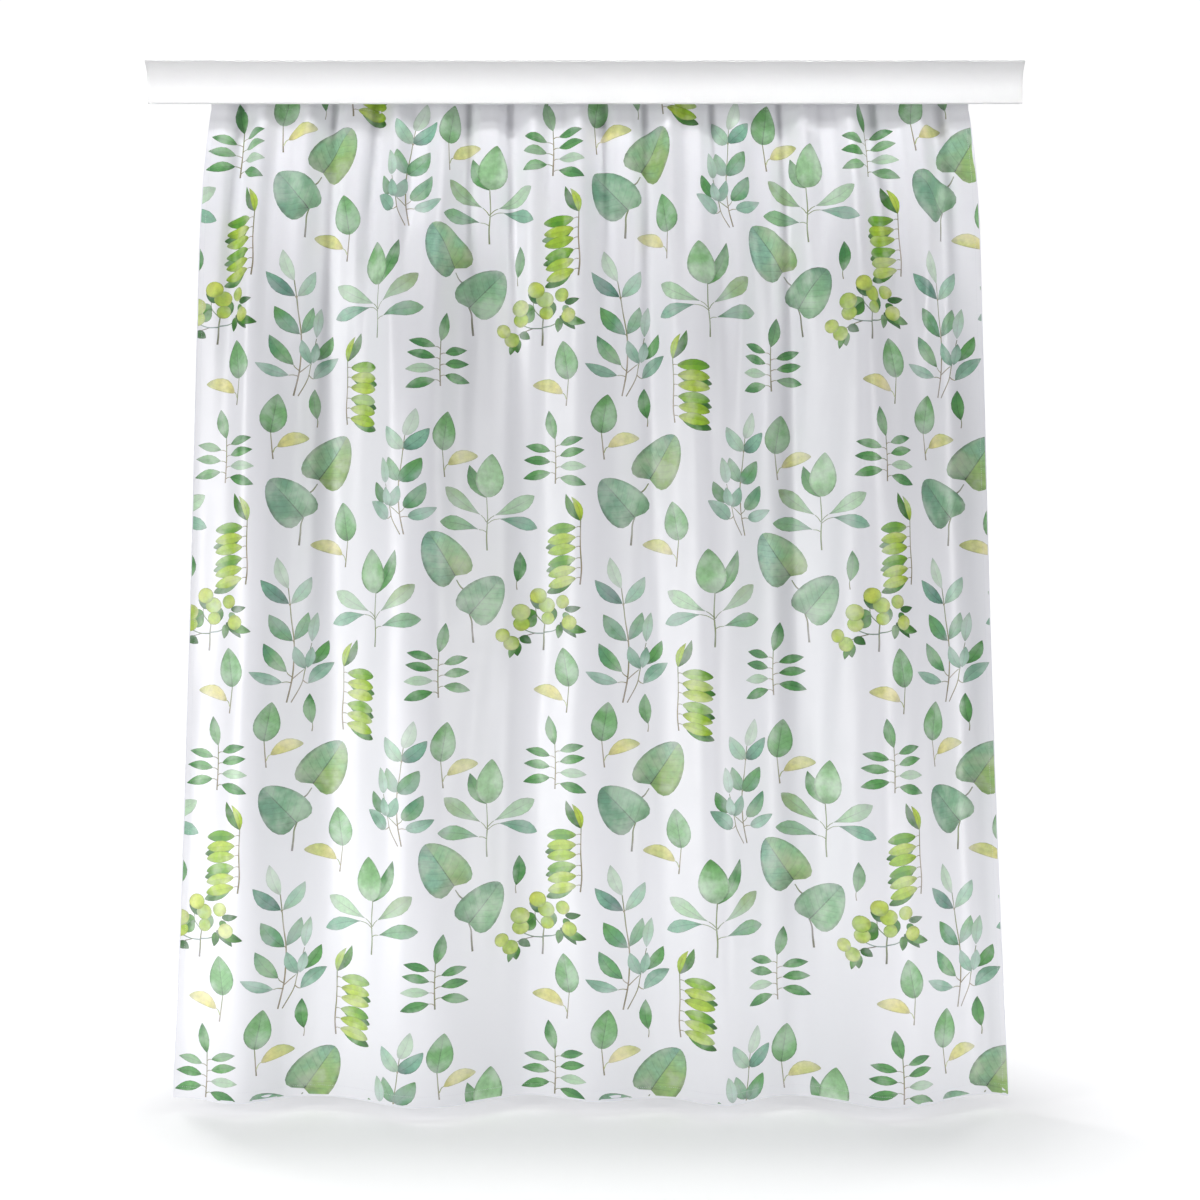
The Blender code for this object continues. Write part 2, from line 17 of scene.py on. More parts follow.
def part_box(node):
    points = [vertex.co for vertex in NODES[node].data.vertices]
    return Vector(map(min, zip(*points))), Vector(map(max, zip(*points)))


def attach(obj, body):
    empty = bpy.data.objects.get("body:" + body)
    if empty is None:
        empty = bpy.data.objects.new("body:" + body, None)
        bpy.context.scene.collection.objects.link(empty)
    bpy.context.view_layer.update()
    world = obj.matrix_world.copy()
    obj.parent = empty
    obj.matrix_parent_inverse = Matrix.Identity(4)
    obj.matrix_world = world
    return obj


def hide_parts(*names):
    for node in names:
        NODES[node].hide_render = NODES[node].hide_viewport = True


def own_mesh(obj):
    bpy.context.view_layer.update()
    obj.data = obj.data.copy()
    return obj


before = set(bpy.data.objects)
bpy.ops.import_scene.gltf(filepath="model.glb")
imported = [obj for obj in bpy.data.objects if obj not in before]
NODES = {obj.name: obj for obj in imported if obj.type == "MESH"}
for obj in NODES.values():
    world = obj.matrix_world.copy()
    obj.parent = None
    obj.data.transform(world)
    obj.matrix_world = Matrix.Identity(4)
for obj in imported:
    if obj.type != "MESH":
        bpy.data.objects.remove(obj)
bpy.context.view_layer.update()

# Cloth sizes, as in the part
CLOTH_WIDTH = 1.800
CLOTH_HEIGHT = 2.000
HUNG_WIDTH = 1.498
HUNG_CENTRE_X = 0.009
CARRIER_COUNT = 12
EYELET_TOP_MARGIN = 0.016
EYELET_SIDE_MARGIN = 0.020
EYELET_FLAT = 0.0118
EYELET_CUT = 0.0061
BAND_HEIGHT = 0.040
SIDE_HEM_WIDTH = 0.012
HEM_HEIGHT = 0.025
TAPE_RADIUS = 0.0012
FOLDS = (
    (0.000, 0.000, -0.55),
    (0.085, 0.080, 0.35),
    (0.170, 0.170, -0.80),
    (0.265, 0.305, 1.00),
    (0.400, 0.430, -0.90),
    (0.500, 0.508, 0.15),
    (0.565, 0.577, -0.50),
    (0.628, 0.658, 0.60),
    (0.755, 0.735, -0.85),
    (0.828, 0.854, 1.00),
    (0.965, 0.980, -1.00),
    (1.000, 1.000, -0.75),
)
PLEAT_SIDES = (-1, 1, -1, 1, -1, 1, -1, -1, -1, 1, 1)
FLARE_LEFT = 0.084
FLARE_RIGHT = 0.090
FLARE_EARLY = 0.45
FLARE_FALL = 0.12
PLEAT_FADE = 0.13
FOLD_GROW = 0.28
BALANCE_FROM = 0.15
CARRIER_PITCH = (HUNG_WIDTH - 2 * EYELET_SIDE_MARGIN) / (CARRIER_COUNT - 1)

low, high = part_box("eyelet_01")
EYELET_Z = (low.z + high.z) / 2
FASCIA_LOW_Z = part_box("fascia")[0].z
CLOTH_TOP_Z = EYELET_Z + EYELET_TOP_MARGIN
HUNG_LEFT_X = HUNG_CENTRE_X - HUNG_WIDTH / 2
HUNG_RIGHT_X = HUNG_CENTRE_X + HUNG_WIDTH / 2


# The hung cloth. u is the width along the flat cloth from its left edge, v the drop from its top.

def ease(a):
    a = np.clip(a, 0, 1)
    return a * a * (3 - 2 * a)


def flare(t):
    return FLARE_EARLY * (1 - math.exp(-t / FLARE_FALL)) + (1 - FLARE_EARLY) * t * t


def header_pleats(along):
    pitches = (along * HUNG_WIDTH - EYELET_SIDE_MARGIN) / CARRIER_PITCH
    interval = np.clip(np.floor(pitches), 0, CARRIER_COUNT - 2).astype(int)
    flat = EYELET_FLAT / CARRIER_PITCH
    share = np.clip((pitches - interval - flat) / (1 - 2 * flat), 0, 1)
    return np.array(PLEAT_SIDES)[interval] * np.sin(2 * math.pi * share) * np.sin(math.pi * share)


def long_folds(along, t):
    places = [top + (hem - top) * t for top, hem, _ in FOLDS]
    heights = [height for _, _, height in FOLDS]
    value = np.full_like(along, heights[-1])
    for n in range(len(FOLDS) - 1):
        here = (along >= places[n]) & (along <= places[n + 1])
        share = (along - places[n]) / (places[n + 1] - places[n])
        value = np.where(here, heights[n] + (heights[n + 1] - heights[n]) * ease(share), value)
    return value


def row(t):
    """Level line at a share t of the height: x, y and the cloth's length up to each."""
    along = np.linspace(0, 1, 1500)
    below = max(0.0, t - BAND_HEIGHT / CLOTH_HEIGHT)
    left = HUNG_LEFT_X - FLARE_LEFT * flare(below)
    right = HUNG_RIGHT_X + FLARE_RIGHT * flare(below)
    x = left + (right - left) * along
    folds = float(ease(below / FOLD_GROW))
    shape = header_pleats(along) * math.exp(-below / PLEAT_FADE) + long_folds(along, t) * folds
    depth_low, depth_high = 0.0, 0.3
    for _ in range(40):
        depth = (depth_low + depth_high) / 2
        if np.hypot(np.diff(x), depth * np.diff(shape)).sum() < CLOTH_WIDTH:
            depth_low = depth
        else:
            depth_high = depth
    y = -depth * shape
    y = y - y.mean() * float(ease(below / BALANCE_FROM))
    length = np.concatenate([[0], np.cumsum(np.hypot(np.diff(x), np.diff(y)))])
    return x, y, length * CLOTH_WIDTH / length[-1]


LEVELS = np.linspace(0, 1, 201)
WIDTHS = np.linspace(0, CLOTH_WIDTH, 901)
TABLE_X = np.zeros((len(LEVELS), len(WIDTHS)))
TABLE_Y = np.zeros_like(TABLE_X)


def fill_table():
    """Level lines at even steps, moved so that the cloth hangs centred under the hooks."""
    means = []
    for r, t in enumerate(LEVELS):
        x, y, length = row(t)
        means.append(y.mean())
        TABLE_X[r], TABLE_Y[r] = np.interp(WIDTHS, length, x), np.interp(WIDTHS, length, y)
    share = ease((LEVELS - BAND_HEIGHT / CLOTH_HEIGHT) / BALANCE_FROM)
    TABLE_Y[:] += (-sum(means) / share.sum() * share)[:, None]


fill_table()


def looked_up(table, u, v):
    """The table's value at flat places, straight between its entries."""
    column = np.clip(u / CLOTH_WIDTH, 0, 1) * (len(WIDTHS) - 1)
    level = np.clip(v / CLOTH_HEIGHT, 0, 1) * (len(LEVELS) - 1)
    c = np.minimum(column.astype(int), len(WIDTHS) - 2)
    r = np.minimum(level.astype(int), len(LEVELS) - 2)
    a, b = column - c, level - r
    upper = table[r, c] * (1 - a) + table[r, c + 1] * a
    lower = table[r + 1, c] * (1 - a) + table[r + 1, c + 1] * a
    return upper * (1 - b) + lower * b


RIPPLES = (
    # height, spacing, phase, lean
    (0.0022, 0.168, 0.4, 0.030),
    (0.0010, 0.101, 2.1, -0.045),
    (0.0004, 0.057, 4.0, 0.060),
)


def ripples(u, v):
    """Small soft folds along the big ones, none in the header."""
    drift = u + 0.014 * np.sin(2 * math.pi * v / 1.35 + 1.0) + 0.006 * np.sin(2 * math.pi * v / 0.57)
    total = np.zeros_like(u)
    for height, spacing, phase, lean in RIPPLES:
        swell = 0.6 + 0.4 * np.sin(2 * math.pi * (v / 1.1 + u / 0.9) + 2 * phase)
        total += height * swell * np.sin(2 * math.pi * (drift + lean * v) / spacing + phase)
    return total * ease((v - 0.06) / 0.30)


def base_place(u, v):
    """Points of the cloth's middle surface before its small ripples."""
    z = CLOTH_TOP_Z - v
    return np.stack([looked_up(TABLE_X, u, v), looked_up(TABLE_Y, u, v), z], 1)


STEP = 0.002


def normals_of(place, u, v):
    across = place(u + STEP, v) - place(u - STEP, v)
    down = place(u, v + STEP) - place(u, v - STEP)
    normal = np.cross(down, across)
    return normal / np.linalg.norm(normal, axis=1)[:, None]


def beyond(place, u, v):
    """The place, carried on straight where u or v lie outside the cloth."""
    inside_u = np.clip(u, STEP, CLOTH_WIDTH - STEP)
    inside_v = np.clip(v, STEP, CLOTH_HEIGHT - STEP)
    at = place(inside_u, inside_v)
    across = (place(inside_u + STEP, inside_v) - place(inside_u - STEP, inside_v)) / (2 * STEP)
    down = (place(inside_u, inside_v + STEP) - place(inside_u, inside_v - STEP)) / (2 * STEP)
    return at + across * (u - inside_u)[:, None] + down * (v - inside_v)[:, None]


def rippled(u, v):
    normal = normals_of(lambda a, b: beyond(base_place, a, b), u, v)
    return beyond(base_place, u, v) + normal * ripples(u, v)[:, None]


def cloth_points(u, v, offset=0.0):
    """Points and forward normals of the hung cloth, at an offset in front of its middle surface."""
    u, v = np.asarray(u, float), np.asarray(v, float)
    normal = normals_of(rippled, u, v)
    points = rippled(u, v) + normal * np.reshape(offset, (-1, 1))
    return points, normal


# The print, in design centimetres with x to the right and y up from each motif's foot

TILE_WIDTH = 0.741           # of flat cloth
TILE_HEIGHT = 0.608
TILE_U = 0.038
TILE_V = 0.438
STRETCH = 1.164              # flat width for each width seen in the folds
OUTLINE_STEPS = 9
STEM_STEPS = 4


def srgb(red, green, blue):
    return tuple((c / 255 / 12.92) if c < 10.3 else ((c / 255 + 0.055) / 1.055) ** 2.4
                 for c in (red, green, blue))


FERN = srgb(96, 160, 84)
FERN_DEEP = srgb(52, 122, 62)
LIME = srgb(140, 182, 30)
LIME_YELLOW = srgb(176, 196, 60)
GRASS = srgb(78, 146, 24)
GRASS_DEEP = srgb(34, 98, 26)
TEAL = srgb(86, 146, 112)
TEAL_DEEP = srgb(46, 106, 90)
TEAL_PALE = srgb(136, 188, 160)
SAGE = srgb(124, 176, 120)
SAGE_PALE = srgb(166, 204, 160)
OLIVE = srgb(126, 160, 72)
BERRY = srgb(190, 202, 84)
BERRY_GREEN = srgb(146, 182, 66)
STRAW = srgb(226, 214, 128)
STRAW_GREEN = srgb(186, 196, 120)
BROWN = srgb(128, 96, 52)
BROWN_DARK = srgb(84, 66, 42)
STEM_GREEN = srgb(112, 128, 62)

LANCE = (0.95, 0.90)
OVATE = (0.75, 0.75)
SPOON = (1.60, 0.80)
ROUND = (0.62, 0.55)
BLUNT = (1.05, 0.62)
DISC = (1.00, 0.50)


def leaf(base, tip, width, form, ink, wash, density=0.92, bend=0.0, rib=0.6, split=0.3, lobe=0.0):
    """One leaf, from its base to its tip, with its pigments and how thick they are laid."""
    return {"base": base, "tip": tip, "width": width, "form": form, "ink": ink, "wash": wash,
            "density": density, "bend": bend, "rib": rib, "split": split, "lobe": lobe}


def stem(points, width=0.17, ink=BROWN, density=0.85):
    return {"line": points, "width": width, "ink": ink, "wash": STEM_GREEN, "density": density}


def sprig():
    """A straight stem with seven small leaves at its sides and one on top."""
    shapes = [stem([(0, 0), (0.12, 4.4), (0, 8.9)], 0.16)]
    turns = (-18, -12, -2, 6, 12, 14, 15)
    for n, turn in enumerate(turns):
        side = -1 if n % 2 else 1
        height = 0.9 + 1.08 * n
        base = (1.0 * side, height + 0.25)
        length = 5.2 - 0.10 * n
        angle = math.radians(turn)
        tip = (base[0] + side * length * math.cos(angle), base[1] + length * math.sin(angle))
        pale = n == 2
        shapes.append(stem([(0.08, height - 0.1), (0.5 * side, height + 0.2), base], 0.10))
        shapes.append(leaf(base, tip, 2.05 - 0.05 * n, LANCE, SAGE if pale else FERN,
                           SAGE_PALE if pale else FERN_DEEP, 0.72 if pale else 0.95, 0.03 * side))
    shapes.append(leaf((0, 8.8), (-1.3, 14.6), 2.3, LANCE, FERN, FERN_DEEP, 0.92, 0.03))
    return shapes


def hanging_branch():
    """A thin stem with bright leaves in close pairs along one side."""
    shapes = [stem([(0, 0), (0.25, 3.2), (0.05, 7.6), (0.1, 12.6)], 0.16)]
    heights = [11.3 - 1.95 * n - (0.3 if n >= 3 else 0) for n in range(6)]
    for n, height in enumerate(heights):
        base = (-0.75, height)
        angle = math.radians(186 + 2 * n)
        shapes.append(stem([(0.08, height + 0.1), (-0.3, height + 0.15), base], 0.10))
        low_tip = (base[0] + 6.3 * math.cos(angle + 0.10), base[1] - 0.55 + 6.3 * math.sin(angle + 0.10))
        if n % 2:
            shapes.append(leaf((base[0] - 0.6, base[1] - 0.5), low_tip, 2.0, BLUNT, GRASS, GRASS_DEEP,
                               0.98, 0.02))
        tip = (base[0] + 5.8 * math.cos(angle), base[1] + 5.8 * math.sin(angle))
        shapes.append(leaf(base, tip, 2.35, BLUNT, LIME_YELLOW if n % 3 else LIME,
                           LIME if n % 3 else GRASS, 0.96, -0.02, 0.3, 0.4))
    shapes.append(leaf((0.0, 12.6), (-2.7, 18.0), 1.75, LANCE, GRASS_DEEP, GRASS, 0.98, 0.07))
    shapes.append(leaf((0.1, 12.5), (-1.6, 17.4), 1.35, LANCE, LIME, LIME_YELLOW, 0.95, -0.10))
    return shapes


def round_pair():
    """Two broad heart leaves on one stem."""
    return [
        stem([(0, 0), (0.2, 2.4), (0.3, 4.2), (0.8, 5.8)], 0.22, BROWN_DARK),
        stem([(1.8, 10.5), (2.5, 11.2), (3.2, 12.4)], 0.18, BROWN_DARK),
        leaf((3.4, 13.2), (8.6, 21.7), 8.7, ROUND, OLIVE, TEAL_PALE, 0.90, 0.0, 0.9, 1.0, 0.22),
        leaf((0.7, 5.6), (-5.4, 12.9), 8.5, ROUND, SAGE, TEAL, 0.86, 0.0, 1.0, 0.5, 0.16),
    ]


def bud(back=1.0):
    """A closed bud of two broad leaves over four spreading ones. back is the rear leaf's length."""
    return [
        stem([(0, 0), (0.1, 3.0), (-0.1, 6.5), (0.1, 10.8)], 0.17, STEM_GREEN),
        stem([(0.1, 5.6), (-0.7, 6.5), (-1.4, 7.0)], 0.11, STEM_GREEN),
        stem([(0.1, 5.6), (0.6, 6.4), (1.2, 7.0)], 0.11, STEM_GREEN),
        stem([(0.1, 5.2), (-1.2, 6.1), (-2.5, 6.4)], 0.10, STEM_GREEN),
        stem([(0.1, 3.6), (0.8, 4.0), (1.6, 4.1)], 0.10, STEM_GREEN),
        leaf((0.2, 10.5), (0.2 + 4.3 * back, 10.5 + 8.6 * back), 2.7, LANCE, FERN, FERN_DEEP, 0.95,
             -0.08),
        leaf((-0.2, 10.6), (-1.0, 19.3), 5.5, OVATE, SAGE_PALE, FERN, 0.94, 0.0, 0.05, 0.1),
        leaf((-1.4, 7.0), (-8.7, 11.0), 3.1, SPOON, SAGE, SAGE_PALE, 0.78, 0.03),
        leaf((1.2, 7.0), (8.1, 12.3), 3.1, SPOON, SAGE, OLIVE, 0.78, -0.03),
        leaf((-2.3, 6.4), (-9.2, 4.5), 2.6, SPOON, TEAL, TEAL_PALE, 0.88, -0.05),
        leaf((1.6, 4.1), (9.2, 5.5), 3.0, SPOON, TEAL, SAGE, 0.88, 0.05),
    ]


def leaf_and_yellow():
    """One upright oval leaf with a small straw-coloured one beside it."""
    return [
        stem([(0, 0), (0.2, 2.0), (0.5, 5.5)], 0.15),
        stem([(0.05, 1.3), (-0.3, 2.2), (-0.8, 2.6)], 0.12, STRAW_GREEN),
        leaf((0.5, 5.2), (-0.7, 12.9), 4.7, OVATE, SAGE, FERN, 0.90, 0.0, 0.8, 0.5),
        leaf((-0.7, 2.5), (-6.5, 4.5), 2.6, BLUNT, STRAW, STRAW_GREEN, 0.88, -0.12, 0.1, 0.1),
    ]


def eucalyptus(rounder=False):
    """A tall main stem and a side shoot, with leaves in pairs."""
    form = OVATE if rounder else LANCE
    broad = 1.25 if rounder else 1.0
    main = [(0, 0), (0.9, 4.7), (1.15, 8.6), (1.1, 12.3), (0.5, 16.6), (0.2, 19.5), (-0.2, 22.8)]
    shoot = [(0.8, 0), (2.6, 3.6), (3.2, 6.5), (4.3, 11.8)]
    shapes = [stem(main, 0.17), stem(shoot, 0.13)]
    joints = (
        [(0.2, 19.2), (0.0, 19.6)], [(0.2, 19.2), (0.4, 19.7)], [(1.1, 12.0), (0.8, 12.4)],
        [(0.95, 5.0), (0.2, 5.6), (-0.1, 6.1)], [(0.8, 3.9), (-0.1, 4.1), (-0.9, 4.0)],
        [(2.8, 4.4), (3.3, 3.9), (3.8, 3.7)], [(3.4, 7.2), (4.0, 7.4), (4.4, 7.6)],
        [(1.0, 4.7), (2.4, 6.0), (3.0, 6.5)],
    )
    shapes += [stem(list(points), 0.12) for points in joints]
    leaves = (
        ((-0.2, 22.6), (-2.3, 28.8), 2.4, SAGE_PALE, SAGE, 0.55, 0.05),
        ((0.0, 19.6), (-5.0, 24.3), 2.7, TEAL_DEEP, TEAL_PALE, 0.95, 0.06),
        ((0.4, 19.6), (4.1, 25.0), 2.6, SAGE, TEAL_PALE, 0.74, -0.06),
        ((1.2, 12.4), (3.6, 17.9), 2.4, TEAL, SAGE, 0.84, -0.06),
        ((0.8, 12.2), (-3.5, 17.5), 3.1, TEAL, FERN, 0.92, 0.06),
        ((-0.1, 6.1), (-4.3, 11.8), 2.8, FERN, TEAL, 0.92, 0.07),
        ((-0.9, 4.0), (-6.6, 6.2), 2.2, TEAL_PALE, TEAL, 0.80, 0.05),
        ((4.3, 12.0), (5.2, 17.9), 1.9, TEAL_PALE, SAGE, 0.62, 0.03),
        ((4.4, 7.5), (7.2, 12.3), 2.2, FERN_DEEP, FERN, 0.95, -0.06),
        ((3.3, 6.6), (1.2, 11.2), 2.2, TEAL, TEAL_PALE, 0.84, 0.06),
        ((3.6, 6.8), (4.4, 11.0), 1.8, TEAL_PALE, TEAL, 0.78, -0.02),
        ((3.8, 3.7), (8.3, 7.9), 2.6, TEAL_PALE, TEAL, 0.84, 0.06),
    )
    for base, tip, width, ink, wash, density, bend in leaves:
        shapes.append(leaf(base, tip, width * broad, form, ink, wash, density, bend))
    return shapes


def berries():
    """Round green berries over small dark leaves on a fork of thin stems."""
    shapes = [
        stem([(0, 0), (0.1, 1.8), (0.1, 3.6), (0.3, 5.6)], 0.20, BROWN_DARK),
        stem([(0.1, 3.4), (-2.0, 3.5), (-4.4, 4.6)], 0.14, TEAL_DEEP),
        stem([(0.1, 3.6), (2.2, 4.0), (4.2, 5.4)], 0.14, TEAL_DEEP),
        stem([(-1.6, 3.4), (-4.0, 2.6), (-5.6, 1.6)], 0.12, BROWN_DARK),
        stem([(0.3, 5.2), (-1.2, 7.0), (-1.4, 8.6)], 0.12, GRASS_DEEP),
    ]
    small = (
        ((3.4, 5.6), (6.6, 2.6), 1.7), ((4.6, 5.2), (8.4, 3.8), 1.9), ((3.2, 5.2), (3.0, 2.4), 1.6),
        ((4.4, 8.2), (7.4, 8.6), 1.4), ((4.2, 7.6), (5.2, 5.6), 1.5), ((-4.6, 1.6), (-4.6, -1.2), 1.7),
        ((-4.2, 2.6), (-2.2, 1.4), 1.7), ((-5.0, 1.0), (-6.0, -1.6), 1.3), ((-3.0, 8.2), (-1.6, 5.4), 2.2),
        ((0.0, 8.6), (-2.4, 10.2), 2.2), ((2.0, 8.6), (1.2, 5.2), 1.9), ((-2.8, 4.6), (-1.4, 7.2), 1.7),
    )
    for n, (base, tip, width) in enumerate(small):
        shapes.append(leaf(base, tip, width, OVATE, GRASS if n % 3 else GRASS_DEEP, GRASS_DEEP, 0.97,
                           0.05 * (-1) ** n))
    balls = (
        (0.7, 9.0, 1.6), (-5.7, 1.4, 1.5), (-3.9, 5.3, 1.5), (-0.9, 10.9, 1.6), (3.9, 9.7, 1.4),
        (-4.0, 7.6, 1.7), (0.9, 6.4, 1.3), (5.2, 5.6, 1.5), (-7.3, 3.0, 1.4),
    )
    for n, (x, y, radius) in enumerate(balls):
        turn = 0.7 * n
        step = (radius * math.cos(turn), radius * math.sin(turn))
        shapes.append(leaf((x - step[0], y - step[1]), (x + step[0], y + step[1]), 2 * radius, DISC,
                           BERRY if n % 3 else BERRY_GREEN, BERRY_GREEN if n % 3 else BERRY, 0.93,
                           0.0, 0.0, 0.15))
    return shapes


def single_leaf():
    return [stem([(0, 0), (-0.1, 1.0), (0, 2.0)], 0.11),
            leaf((0, 1.6), (0.5, 7.6), 2.3, LANCE, FERN, FERN_DEEP, 0.94, -0.05)]


# Motif, place of its foot in the tile, 1 as designed or -1 turned over, and its scale
LAYOUT = (
    (single_leaf, (-4.1, 5.8), 1, 1.0),
    (single_leaf, (20.0, -22.5), -1, 1.0),
    (leaf_and_yellow, (25.6, 10.3), 1, 1.0),
    (leaf_and_yellow, (5.3, -18.6), 1, 1.0),
    (leaf_and_yellow, (12.1, 31.5), -1, 1.0),
    (leaf_and_yellow, (45.7, 27.8), -1, 1.0),
    (bud, (32.5, -5.5), 1, 1.0),
    (lambda: bud(0.74), (-9.7, 13.6), -1, 1.0),
    (sprig, (3.0, 26.9), 1, 1.0),
    (sprig, (44.7, -15.3), -1, 1.0),
    (hanging_branch, (7.9, 6.8), 1, 1.0),
    (hanging_branch, (25.7, -22.1), -1, 1.0),
    (round_pair, (17.0, 14.6), 1, 1.0),
    (round_pair, (51.3, -4.7), -1, 1.0),
    (eucalyptus, (15.4, -16.6), 1, 1.0),
    (lambda: eucalyptus(True), (38.6, 16.5), -1, 0.85),
    (berries, (0.6, -6.3), 1, 1.0),
)


def leaf_outline(shape):
    """The leaf's edge, and its frame: base, unit direction and length."""
    base, tip = np.array(shape["base"], float), np.array(shape["tip"], float)
    length = np.linalg.norm(tip - base)
    ahead = (tip - base) / length
    aside = np.array([-ahead[1], ahead[0]])
    power, blunt = shape["form"]
    steps = OUTLINE_STEPS + (3 if shape["width"] > 4 else 0)
    s = (1 - np.cos(math.pi * np.linspace(0, 1, steps + 1))) / 2
    half = shape["width"] / 2 * np.sin(math.pi * s ** power) ** blunt
    middle = 4 * shape["bend"] * length * s * (1 - s)
    lag = shape["lobe"] * length * (2 * half / shape["width"]) * (1 - s) ** 2
    points = []
    for side in (1, -1):
        edge = base + np.outer(s * length - lag, ahead) + np.outer(middle + side * half, aside)
        points.append(edge if side == 1 else edge[::-1][1:-1])
    return np.concatenate(points), base, ahead, length


def stem_outline(shape):
    """A thin ribbon round a smooth line, narrower towards its end."""
    given = np.array(shape["line"], float)
    count = (len(given) - 1) * STEM_STEPS + 1
    at = np.linspace(0, len(given) - 1, count)
    padded = np.vstack([2 * given[0] - given[1], given, 2 * given[-1] - given[-2]])
    index = np.minimum(at.astype(int), len(given) - 2)
    f = (at - index)[:, None]
    a, b, c, d = (padded[index + n] for n in range(4))
    line = 0.5 * (2 * b + (c - a) * f + (2 * a - 5 * b + 4 * c - d) * f ** 2
                  + (3 * b - a - 3 * c + d) * f ** 3)
    ahead = np.gradient(line, axis=0)
    ahead /= np.linalg.norm(ahead, axis=1)[:, None]
    aside = np.stack([-ahead[:, 1], ahead[:, 0]], 1)
    half = (shape["width"] * 0.75 * np.linspace(1.15, 0.75, count))[:, None]
    outline = np.concatenate([line + aside * half, (line - aside * half)[::-1]])
    length = max(np.linalg.norm(line[-1] - line[0]), 0.5)
    return outline, line[0], (line[-1] - line[0]) / length, length


def tile_shapes():
    """Every shape of one repeat, drawn in order, in design centimetres of the tile."""
    made = []
    for motif, foot, turn, scale in LAYOUT:
        def moved(point):
            return foot[0] + turn * scale * point[0], foot[1] + scale * point[1]
        for shape in motif():
            shape = dict(shape)
            shape["width"] *= scale
            if "line" in shape:
                shape["line"] = [moved(p) for p in shape["line"]]
                outline = stem_outline(shape)
            else:
                shape["base"], shape["tip"] = moved(shape["base"]), moved(shape["tip"])
                shape["bend"] *= turn
                outline = leaf_outline(shape)
            made.append((shape, *outline))
    return made


def clipped(outline, low_u, high_u, low_v, high_v):
    """The part of a closed outline inside the rectangle."""
    for axis, limit, sign in ((0, low_u, 1), (0, high_u, -1), (1, low_v, 1), (1, high_v, -1)):
        result = []
        for n in range(len(outline)):
            a, b = outline[n - 1], outline[n]
            da, db = (a[axis] - limit) * sign, (b[axis] - limit) * sign
            if (da < 0) != (db < 0):
                result.append(a + (b - a) * (da / (da - db)))
            if db >= 0:
                result.append(b)
        outline = result
        if len(outline) < 3:
            return None
    return np.array(outline)


PRINT_MARGIN = 0.0012
PRINT_LOW_MARGIN = 0.0045


def printed_shapes():
    """All shapes on the cloth: outline in flat metres and its facts."""
    placed = []
    tile = tile_shapes()
    scale = np.array([STRETCH / 100, -1 / 100])
    for across in range(-1, 3):
        for down in range(-1, 4):
            origin = np.array([TILE_U + TILE_WIDTH * across, TILE_V + TILE_HEIGHT * down])
            for number, (shape, outline, base, ahead, length) in enumerate(tile):
                flat = clipped(list(origin + outline * scale), PRINT_MARGIN, CLOTH_WIDTH - PRINT_MARGIN,
                               0.003, CLOTH_HEIGHT - PRINT_LOW_MARGIN)
                if flat is not None:
                    placed.append((flat, shape, origin, base, ahead, length, number))
    return placed


# Meshes

PIECES = bpy.data.collections.new("curtain")
bpy.context.scene.collection.children.link(PIECES)
CLOTH_HALF = 0.0002


def new_object(name, points, faces, normals=None):
    """A smooth mesh object. Its normals are the cloth's own where they are given."""
    mesh = bpy.data.meshes.new(name)
    mesh.from_pydata(points.tolist() if hasattr(points, "tolist") else points, [], faces)
    mesh.update()
    mesh.shade_smooth()
    if normals is not None:
        mesh.normals_split_custom_set_from_vertices(normals.tolist())
    thing = bpy.data.objects.new(name, mesh)
    PIECES.objects.link(thing)
    return thing


def faces_outward(thing):
    work = bmesh.new()
    work.from_mesh(thing.data)
    bmesh.ops.recalc_face_normals(work, faces=work.faces)
    work.to_mesh(thing.data)
    work.free()
    thing.data.shade_smooth()


def circle(u, v, radius, steps=16):
    turns = np.linspace(0, 2 * math.pi, steps, endpoint=False)
    return np.stack([u + radius * np.cos(turns), v + radius * np.sin(turns)], 1)


def eyelet_holes():
    widths = np.linspace(EYELET_SIDE_MARGIN, CLOTH_WIDTH - EYELET_SIDE_MARGIN, CARRIER_COUNT)
    return [circle(u, EYELET_TOP_MARGIN, EYELET_CUT) for u in widths]


def triangulated(grid_u, grid_v, outlines):
    """Flat triangles over a grid, with the outlines as edges, and each triangle's outlines."""
    points = [np.stack(np.meshgrid(grid_u, grid_v), -1).reshape(-1, 2)]
    loops, count = [], len(points[0])
    for outline in outlines:
        loops.append(list(range(count, count + len(outline))))
        points.append(outline)
        count += len(outline)
    flat = [Vector((a * 10, b * 10)) for a, b in np.concatenate(points)]
    found = delaunay_2d_cdt(flat, [], loops, 0, 1e-5, True)
    return np.array([tuple(p) for p in found[0]]) / 10, np.array(found[2]), found[5]


def closed_sheet(name, flat, triangles, front, back):
    """A thin closed sheet over the flat triangles, between two offsets."""
    u, v = flat[:, 0], flat[:, 1]
    a, b, c = (flat[triangles[:, n]] for n in range(3))
    turned = (b - a)[:, 0] * (c - a)[:, 1] - (b - a)[:, 1] * (c - a)[:, 0]
    triangles = np.where((turned > 0)[:, None], triangles[:, ::-1], triangles)
    count = len(flat)
    edges = np.concatenate([triangles[:, [0, 1]], triangles[:, [1, 2]], triangles[:, [2, 0]]])
    seen = set(map(tuple, edges.tolist()))
    rim = [(p, q) for p, q in edges.tolist() if (q, p) not in seen]
    front_points, normal = cloth_points(u, v, front)
    back_points, _ = cloth_points(u, v, back)
    faces = triangles.tolist() + (triangles[:, ::-1] + count).tolist()
    for p, q in rim:
        faces.append((q, p, p + count, q + count))
    thing = new_object(name, np.concatenate([front_points, back_points]), faces,
                       np.concatenate([normal, -normal]))
    add_maps(thing, np.concatenate([u, u]), np.concatenate([v, v]), len(triangles))
    return thing, triangles


